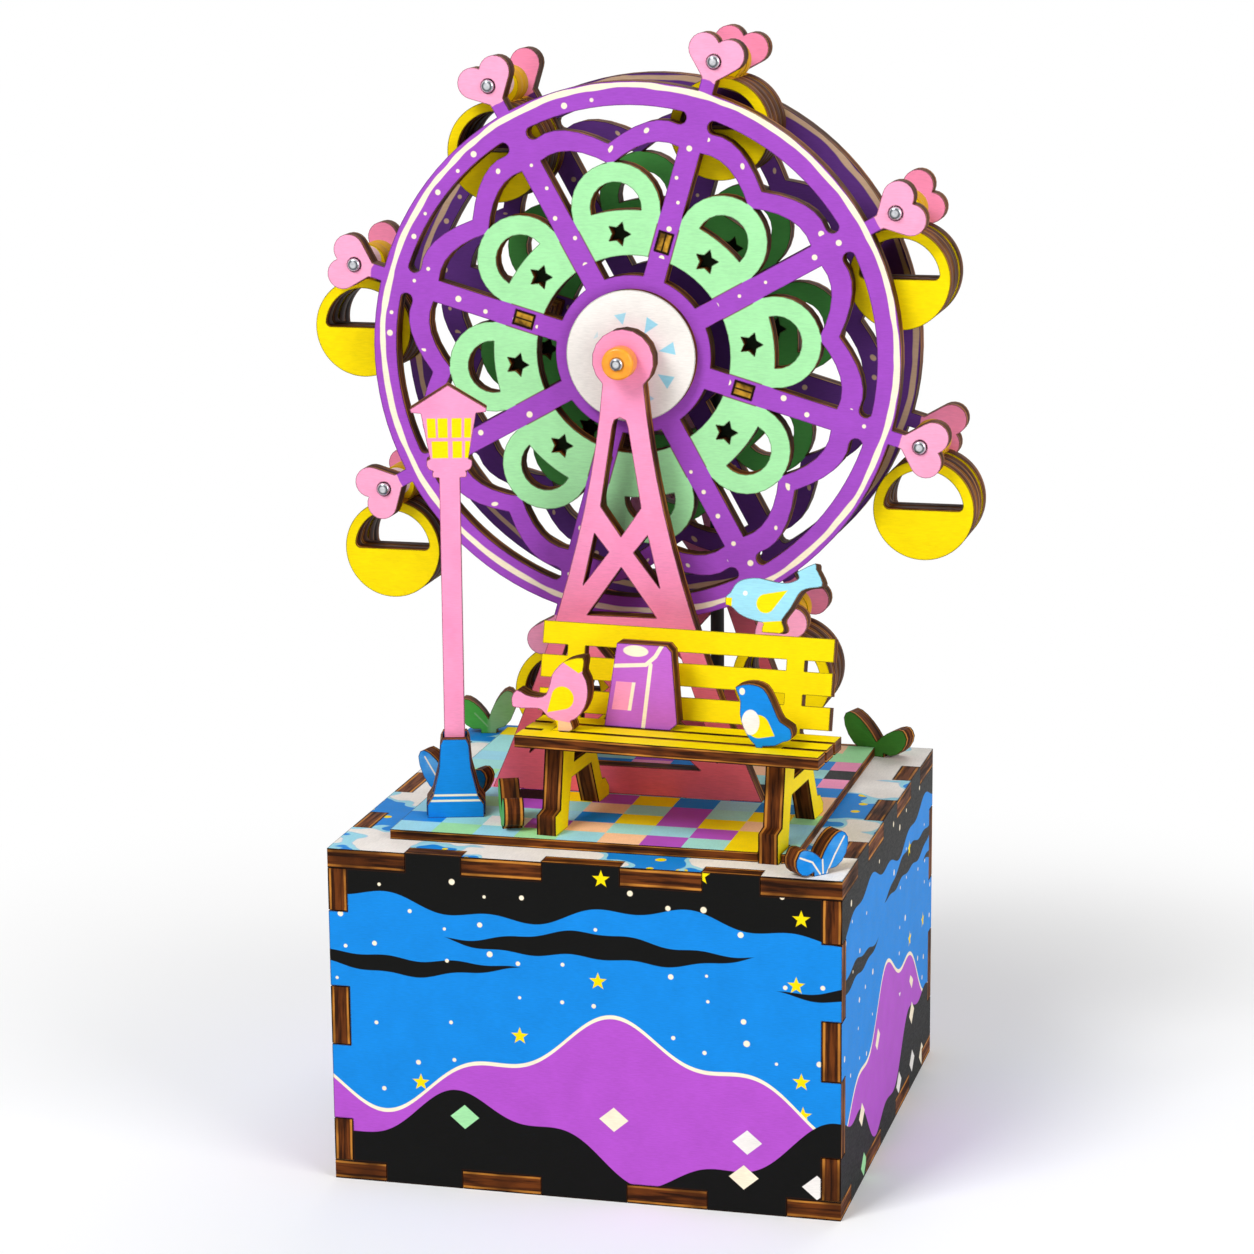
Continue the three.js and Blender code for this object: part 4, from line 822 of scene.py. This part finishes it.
def arc(centre, radius, start, end, steps):
    return [(centre[0] + radius * math.cos(start + (end - start) * i / steps),
             centre[1] + radius * math.sin(start + (end - start) * i / steps)) for i in range(steps + 1)]


def gondolaOutlines(withLug, floorStep, radius):
    s = gondolaSizes
    centre = (0.0, -s["drop"])
    outlines = []
    if withLug:
        lug, apart = s["lugRadius"], s["drop"] - s["lugDrop"]
        onDisc = math.acos((radius ** 2 + apart ** 2 - lug ** 2) / (2 * radius * apart))
        onLug = math.acos((lug ** 2 + apart ** 2 - radius ** 2) / (2 * lug * apart))
        rim = arc(centre, radius, math.pi / 2 + onDisc, 2.5 * math.pi - onDisc, s["steps"])
        outlines.append(rim + arc((0.0, -s["lugDrop"]), lug, onLug - math.pi / 2, 1.5 * math.pi - onLug, 36)[1:-1])
        outlines.append(arc((0.0, 0.0), s["boreRadius"], 0.0, 2 * math.pi, 24)[1:])
    else:
        outlines.append(arc(centre, radius, 0.0, 2 * math.pi, s["steps"])[1:])
    inner = radius - s["wall"]
    corner = s["cornerRadius"]
    low = -floorStep + corner
    reach = math.sqrt((inner - corner) ** 2 - low ** 2)
    lean = math.atan2(low, reach)
    outlines.append(arc(centre, inner, lean, math.pi - lean, 48)
                    + arc((-reach, centre[1] + low), corner, math.pi - lean, 1.5 * math.pi, 6)
                    + arc((reach, centre[1] + low), corner, 1.5 * math.pi, 2 * math.pi + lean, 6))
    return outlines


def layerSlip(number, layer):  # a fixed small shift for each glued disc
    s = gondolaSizes
    angle = 2.399 * (number * s["layers"] + layer + s["seed"])
    return s["slip"] * math.cos(angle * 1.7), s["slip"] * math.sin(angle)


def gondolaLayer(outlines, thickness, shift, y):
    curve = bpy.data.curves.new("gondolaLayer", "CURVE")
    curve.dimensions, curve.fill_mode = "2D", "BOTH"
    bevel = gondolaSizes["bevel"]
    curve.extrude, curve.bevel_depth, curve.offset = (thickness / 2 - bevel) * mm, bevel * mm, -bevel * mm
    curve.bevel_resolution = 0
    for outline in outlines:
        spline = curve.splines.new("POLY")
        spline.points.add(len(outline) - 1)
        spline.use_cyclic_u = True
        for point, (x, z) in zip(spline.points, outline):
            point.co = (x * mm, z * mm, 0.0, 1.0)
    made = evaluatedMesh(linkNew("gondolaLayer", curve), "gondolaLayer")
    place = Matrix.Translation((shift[0] * mm, y * mm, shift[1] * mm))
    made.data.transform(place @ Matrix.Rotation(math.pi / 2, 4, "X"))
    return made


def gondolaMaterial():
    paint, s = Paint("gondolaPrint"), gondolaSizes
    patches = paint.patchy(0.4)
    _, along, aside, _ = spokePlaces(paint, *wheelPolar(paint))
    pinSpot = (along, aside, toyPlaces["pinRadius"], 0.0)
    face = paint.mix(paint.disc(*pinSpot, s["paleRadius"]), paint.mix(patches, "yellow", "yellowWarm"), "blush")
    return finishPlate(paint, face, start=s["startY"], rimGold=paint.disc(*pinSpot, s["goldRadius"]))


def buildGondolas():
    s, material, ply = gondolaSizes, gondolaMaterial(), toyPlaces["ply"]
    for number in range(toyPlaces["spokes"]):
        angle = math.radians(toyPlaces["firstSpoke"] + 360 / toyPlaces["spokes"] * number)
        reach = toyPlaces["pinRadius"]
        pin = (wheelCentre[0] + reach * math.cos(angle), wheelCentre[1] + reach * math.sin(angle))
        parts = []
        for layer in range(s["layers"]):
            slips = layer == s["slipLayer"]
            radius = s["discRadius"] - (s["slip"] if slips else 0.0)
            floorStep = s["floorStep"] if layer >= s["layers"] // 2 else 0.0
            slip = layerSlip(number, layer) if slips else (0.0, 0.0)
            parts.append(gondolaLayer(gondolaOutlines(layer in s["lugLayers"], floorStep, radius), ply - s["seam"],
                                      (pin[0] + slip[0], pin[1] + slip[1]), s["startY"] + (layer + 0.5) * ply))
        with bpy.context.temp_override(active_object=parts[0], selected_editable_objects=parts):
            bpy.ops.object.join()
        piece = parts[0]
        piece.name = piece.data.name = "gondolaStack%d" % (number + 1)
        piece.data.materials.clear()
        piece.data.materials.append(material)
        handOver(piece, "gondola_body_%d" % (number + 1), "ply_yellow", "gondola_%d" % (number + 1))


buildGondolas()
print("gondolas stacked")

# pins round the wheel: one turned rod, repeated by nodes, which repeat the star sheets too
pinSizes = {"radius": 1.0, "dome": 0.45, "fromY": 0.7, "toY": 22.3, "count": 8, "steps": 32}


def buildTree(name, sockets, kinds, links):  # kinds: a node's type and operation; links: from, output, to, input
    tree = bpy.data.node_groups.new(name, "GeometryNodeTree")
    for label, kind in sockets.items():
        tree.interface.new_socket(label, in_out="INPUT", socket_type="NodeSocket" + kind)
    tree.interface.new_socket("Result", in_out="OUTPUT", socket_type="NodeSocketGeometry")
    made = {}
    for key, kind in kinds.items():
        typeName, _, operation = kind.partition(" ")
        made[key] = tree.nodes.new(typeName)
        if operation:
            made[key].operation = operation
    for source, output, target, entry in links:
        tree.links.new(made[source].outputs[output], made[target].inputs[entry])
    return tree, made


def pinRingTree():
    tree, made = buildTree("pinRing", {
        "Rod": "Geometry", "Count": "Int", "Ring Radius": "Float", "First Angle": "Float", "Centre": "Vector",
        "Material": "Material",
    }, {
        "given": "NodeGroupInput", "result": "NodeGroupOutput", "points": "GeometryNodePoints",
        "index": "GeometryNodeInputIndex", "share": "ShaderNodeMath DIVIDE", "turn": "ShaderNodeMath MULTIPLY",
        "angle": "ShaderNodeMath ADD", "cos": "ShaderNodeMath COSINE", "sin": "ShaderNodeMath SINE",
        "along": "ShaderNodeCombineXYZ", "spread": "ShaderNodeVectorMath SCALE", "place": "ShaderNodeVectorMath ADD",
        "copies": "GeometryNodeInstanceOnPoints", "real": "GeometryNodeRealizeInstances",
        "coat": "GeometryNodeSetMaterial",
    }, [
        ("given", "Count", "points", "Count"), ("index", 0, "share", 0), ("given", "Count", "share", 1),
        ("share", 0, "turn", 0), ("turn", 0, "angle", 0), ("given", "First Angle", "angle", 1),
        ("angle", 0, "cos", 0), ("angle", 0, "sin", 0), ("cos", 0, "along", 0), ("sin", 0, "along", 2),
        ("along", 0, "spread", 0), ("given", "Ring Radius", "spread", "Scale"), ("spread", "Vector", "place", 0),
        ("given", "Centre", "place", 1), ("place", "Vector", "points", "Position"), ("points", 0, "copies", "Points"),
        ("given", "Rod", "copies", "Instance"), ("copies", 0, "real", 0), ("real", 0, "coat", "Geometry"),
        ("given", "Material", "coat", "Material"), ("coat", 0, "result", 0),
    ])
    made["turn"].inputs[1].default_value = 2 * math.pi
    return tree


def runTree(piece, tree, name, **values):
    modifier = piece.modifiers.new(tree.name, "NODES")
    modifier.node_group = tree
    for item in tree.interface.items_tree:
        if item.item_type == "SOCKET" and item.in_out == "INPUT" and item.name in values:
            modifier[item.identifier] = values[item.name]
    return evaluatedMesh(piece, name)


def ringOf(piece, name, count, radius, firstDegrees, material):  # copies round the wheel's centre
    return runTree(faceOutwards(piece), pinRingTree(), name, **{
        "Count": count, "Ring Radius": radius * mm, "First Angle": math.radians(firstDegrees),
        "Centre": (wheelCentre[0] * mm, 0.0, wheelCentre[1] * mm), "Material": material})


def rodProfile(radius, dome, fromY, toY, steps=6):  # a rod whose ends are domed
    turns = [math.pi / 2 * i / steps for i in range(steps + 1)]
    front = [(radius * math.sin(turn), fromY + dome * (1 - math.cos(turn))) for turn in turns]
    return front + [(across, toY - (y - fromY)) for across, y in reversed(front)]


def buildPins():
    s = pinSizes
    profile = rodProfile(s["radius"], s["dome"], s["fromY"], s["toY"])
    rod = addPiece("pinRod", *lathe(profile, (0, 0), s["steps"], closed=False), steelMaterial)
    pins = ringOf(rod, "gondolaPins", s["count"], toyPlaces["pinRadius"], toyPlaces["firstSpoke"], steelMaterial)
    handOver(sharpSmooth(pins), "wheel", "steel", *["gondola_pin_%d" % (i + 1) for i in range(s["count"])])


buildPins()

# a thin dark sheet set deep in the star openings of both wheel plates, which show dark in the photograph; the sheet is
# painted shade, since the real openings show only shade
starSizes = {
    "points": 5, "radius": 1.97, "waist": 0.54, "centreRadius": 18.5, "pastSpoke": 22.5, "depth": 2.1,
    "thick": 0.5, "count": 8,
}


def starPrism(fromY, toY, first):
    s = starSizes
    outline = []
    for i in range(2 * s["points"]):
        radius, turn = s["radius"] * (s["waist"] if i % 2 else 1.0), math.pi * i / s["points"]
        outline.append((radius * math.cos(turn), radius * math.sin(turn)))
    count = len(outline)
    vertices = [(x * mm, y * mm, z * mm) for y in (fromY, toY) for x, z in outline]
    faces = [[first + i for i in range(count)], [first + count + i for i in reversed(range(count))]]
    for i in range(count):
        j = (i + 1) % count
        faces.append([first + i, first + j, first + count + j, first + count + i])
    return vertices, faces


def buildStars():
    s = starSizes
    allVertices, allFaces = [], []
    for plateY in (toyPlaces["frontPlateY"], toyPlaces["rearPlateY"]):
        vertices, faces = starPrism(plateY + s["depth"], plateY + s["depth"] + s["thick"], len(allVertices))
        allVertices += vertices
        allFaces += faces
    material = plainMaterial("starShade", "starDark", "starDeep", tone=0.8)
    seed = addPiece("starSeed", allVertices, allFaces, material)
    firstDegrees = toyPlaces["firstSpoke"] + s["pastSpoke"]
    stars = ringOf(seed, "starShadeSheets", s["count"], s["centreRadius"], firstDegrees, material)
    handOver(stars, "wheel", "ply_wheel")


buildStars()
print("star openings backed")

# turned pieces on the axle, and the crank's rods and knob
turnedSizes = {  # rods: radius, dome, ends along Y; the knob's shape: share of its length, width in waists
    "axle": (1.0, 0.45, -9.2, 34.7), "shaft": (1.5, 0.5, 11.2, 43.1), "knobPin": (1.0, 0.45, 39.3, 54.4),
    "cap": {"outer": 2.48, "inner": 1.02, "round": 0.55, "front": (-8.5, -5.2), "rear": (31.3, 34.7)},
    "hub": {"outer": 10.12, "inner": 1.2, "fromY": 0.0, "toY": 1.5, "chamfer": 0.06},
    "knob": {"waist": 2.88, "bore": 1.3, "fromY": 42.6, "length": 11.0, "shape": [
        (0.0, 0.92), (0.03, 1.0), (0.16, 1.0), (0.24, 1.03), (0.36, 1.2), (0.5, 1.35), (0.65, 1.388), (0.8, 1.36),
        (0.9, 1.25), (0.965, 1.08), (1.0, 0.8)]},
}


def roundedRing(inner, outer, fromY, toY, rounding, chamfer=0.15, steps=5):
    turns = [math.pi / 2 * i / steps for i in range(steps + 1)]
    edge, front, back = outer - rounding, fromY + rounding, toY - rounding
    low = [(edge + rounding * math.sin(turn), front - rounding * math.cos(turn)) for turn in turns]
    high = [(edge + rounding * math.cos(turn), back + rounding * math.sin(turn)) for turn in turns]
    bore = [(inner + chamfer, toY), (inner, toY - chamfer)]
    return [(inner, fromY + chamfer), (inner + chamfer, fromY), *low, *high, *bore]


def knobProfile(waist, bore, fromY, length, shape):
    middle = [(waist * wide, fromY + length * along) for along, wide in shape]
    return [(bore, fromY), *middle, (bore, fromY + length)]


def turnPiece(name, profile, centre, material, body, slotName, stoodFor, steps=64, closed=True, sharpFrom=50):
    piece = addPiece(name, *lathe(profile, centre, steps, closed), material)
    handOver(sharpSmooth(faceOutwards(piece), sharpFrom), body, slotName, stoodFor)


crankCentre = (toyPlaces["wheelX"], toyPlaces["crankZ"])
knobCentre = (toyPlaces["wheelX"], toyPlaces["crankZ"] - toyPlaces["crankThrow"])


def buildTurned():
    t, cap, hub = turnedSizes, turnedSizes["cap"], turnedSizes["hub"]
    for name, sizes, centre, body, stoodFor in [
        ("axleRod", t["axle"], wheelCentre, "wheel", "axle"),
        ("crankRod", t["shaft"], crankCentre, "crank", "crank_shaft"),
        ("knobRod", t["knobPin"], knobCentre, "crank", "knob_pin"),
    ]:
        turnPiece(name, rodProfile(*sizes), centre, steelMaterial, body, "steel", stoodFor, 48, False, 35)
    for name, ends, stoodFor in [("frontBush", cap["front"], "front_cap"), ("rearBush", cap["rear"], "rear_cap")]:
        profile = roundedRing(cap["inner"], cap["outer"], *ends, cap["round"])
        turnPiece(name, profile, wheelCentre, bushMaterial, "wheel", "cap_orange", stoodFor)
    inner, outer, fromY, toY, chamfer = [hub[key] for key in ("inner", "outer", "fromY", "toY", "chamfer")]
    profile = [(inner, fromY), (outer - chamfer, fromY), (outer, fromY + chamfer), (outer, toY), (inner, toY)]
    turnPiece("hubDisc", profile, wheelCentre, hubMaterial(), "wheel", "ply_hub", "hub_cover", 96, True, 35)
    turnPiece("turnedKnob", knobProfile(**t["knob"]), knobCentre, knobMaterial, "knob", "ply_yellow", "crank_knob")


buildTurned()
print("pins, axle, bushes, hub disc and crank turned")

# belt: a round section swept round both pulleys by nodes
beltSizes = {"innerRadius": 6.7, "section": 2.2, "y": 24.3, "arcSteps": 40, "sectionSteps": 16}


def beltTree():
    tree, _ = buildTree("beltLoop", {
        "Path": "Geometry", "Section Radius": "Float", "Section Steps": "Int", "Material": "Material",
    }, {
        "given": "NodeGroupInput", "result": "NodeGroupOutput", "path": "GeometryNodeMeshToCurve",
        "section": "GeometryNodeCurvePrimitiveCircle", "sweep": "GeometryNodeCurveToMesh",
        "real": "GeometryNodeRealizeInstances", "coat": "GeometryNodeSetMaterial",
    }, [
        ("given", "Path", "path", 0), ("given", "Section Radius", "section", "Radius"),
        ("given", "Section Steps", "section", "Resolution"), ("path", 0, "sweep", "Curve"),
        ("section", 0, "sweep", "Profile Curve"), ("sweep", 0, "real", 0), ("real", 0, "coat", "Geometry"),
        ("given", "Material", "coat", "Material"), ("coat", 0, "result", 0),
    ])
    return tree


def buildBelt():
    s = beltSizes
    radius = s["innerRadius"] + s["section"] / 2
    loop = arc(wheelCentre, radius, 0.0, math.pi, s["arcSteps"])
    loop += arc(crankCentre, radius, math.pi, 2 * math.pi, s["arcSteps"])
    path = bpy.data.meshes.new("beltPath")
    edges = [(i, (i + 1) % len(loop)) for i in range(len(loop))]
    path.from_pydata([(x * mm, s["y"] * mm, z * mm) for x, z in loop], edges, [])
    belt = runTree(linkNew("beltPath", path), beltTree(), "beltLoop", **{
        "Section Radius": s["section"] / 2 * mm, "Section Steps": s["sectionSteps"], "Material": rubberMaterial})
    belt.data.shade_smooth()
    handOver(faceOutwards(belt), "base", "belt_rubber", "drive_belt")


buildBelt()
print("belt swept")

# camera at the photograph's place, soft studio light, pale floor
cameraPlace = {
    "spot": (135.49, -536.0, 204.58), "yaw": 14.44, "pitch": 12.79, "roll": -0.495, "focalPixels": 3670.5,
    "photoPixels": 1254, "sensor": 36.0, "near": 0.01, "far": 20.0,
}


def makeCamera():
    c = cameraPlace
    yaw, pitch, roll = [math.radians(c[key]) for key in ("yaw", "pitch", "roll")]
    ahead = Vector((-math.sin(yaw) * math.cos(pitch), math.cos(yaw) * math.cos(pitch), -math.sin(pitch)))
    right = ahead.cross(Vector((0, 0, 1))).normalized()
    up = right.cross(ahead)
    tiltedRight = math.cos(roll) * right + math.sin(roll) * up
    tiltedUp = -math.sin(roll) * right + math.cos(roll) * up
    lens = bpy.data.cameras.new("photoCamera")
    lens.sensor_width, lens.lens = c["sensor"], c["sensor"] * c["focalPixels"] / c["photoPixels"]
    lens.clip_start, lens.clip_end = c["near"], c["far"]
    camera = linkNew("photoCamera", lens)
    turn = Matrix((tiltedRight, tiltedUp, -ahead)).transposed()
    camera.matrix_world = Matrix.Translation(Vector(c["spot"]) * mm) @ turn.to_4x4()
    bpy.context.scene.camera = camera


lightPlan = {
    "lamps": {"key": ((-0.42, -0.74, 0.92), 0.45, 9.4), "fill": ((0.9, -0.5, 0.5), 0.6, 5.6),
              "back": ((0.1, 0.8, 0.95), 0.7, 3.6)},  # place, size and power
    "target": (0, 0, 0.08), "sky": 0.33, "floorTone": 0.93, "floorRough": 0.9, "floorHalf": 3.0,
    "fadeFrom": 0.075, "fadeTo": 0.2,
}


def whiteForCamera(tree):
    path = tree.nodes.new("ShaderNodeLightPath")
    seen = path.outputs["Is Camera Ray"]
    for name in ("Is Glossy Ray", "Is Transmission Ray"):
        either = tree.nodes.new("ShaderNodeMath")
        either.operation = "MAXIMUM"
        tree.links.new(seen, either.inputs[0])
        tree.links.new(path.outputs[name], either.inputs[1])
        seen = either.outputs[0]
    return seen


def makeLight():
    for name, (spot, size, power) in lightPlan["lamps"].items():
        lamp = bpy.data.lights.new(name + "Light", "AREA")
        lamp.energy, lamp.size = power, size
        holder = linkNew(name + "Light", lamp)
        holder.location = spot
        holder.rotation_mode = "QUATERNION"
        holder.rotation_quaternion = (Vector(lightPlan["target"]) - Vector(spot)).to_track_quat("-Z", "Y")
    world = bpy.data.worlds.new("studio")
    world.use_nodes = True
    bpy.context.scene.world = world
    tree = world.node_tree
    sky, strength = tree.nodes["Background"], tree.nodes.new("ShaderNodeMapRange")
    sky.inputs["Color"].default_value = (1, 1, 1, 1)
    strength.inputs["To Min"].default_value, strength.inputs["To Max"].default_value = lightPlan["sky"], 1.0
    tree.links.new(whiteForCamera(tree), strength.inputs["Value"])
    tree.links.new(strength.outputs[0], sky.inputs["Strength"])


def makeFloor():  # pale near the toy, where it takes the shadow, and plain white for the camera further out
    paint = Paint("paleFloor")
    tree, tone, size = paint.tree, lightPlan["floorTone"], lightPlan["floorHalf"]
    paint.shader.inputs["Base Color"].default_value = (tone, tone, tone, 1.0)
    paint.shader.inputs["Roughness"].default_value = lightPlan["floorRough"]
    glow, blend, place, far = [paint.node(kind) for kind in ("Emission", "MixShader", "TexCoord", "MapRange")]
    far.interpolation_type = "SMOOTHSTEP"
    far.inputs["From Min"].default_value = lightPlan["fadeFrom"]
    far.inputs["From Max"].default_value = lightPlan["fadeTo"]
    paint.feed(far.inputs["Value"], paint.vector("LENGTH", place.outputs["Object"]))
    paint.feed(blend.inputs[0], Value(paint, far.outputs[0]) * whiteForCamera(tree))
    paint.feed(blend.inputs[1], paint.shader.outputs[0])
    paint.feed(blend.inputs[2], glow.outputs[0])
    paint.feed(tree.nodes["Material Output"].inputs["Surface"], blend.outputs[0])
    corners = [(-size, -size, 0), (size, -size, 0), (size, size, 0), (-size, size, 0)]
    floor = addPiece("studioFloor", corners, [(0, 1, 2, 3)], paint.material)


makeCamera()
makeLight()
makeFloor()
bpy.context.scene.view_settings.view_transform = "Standard"
print("camera, light and floor set")
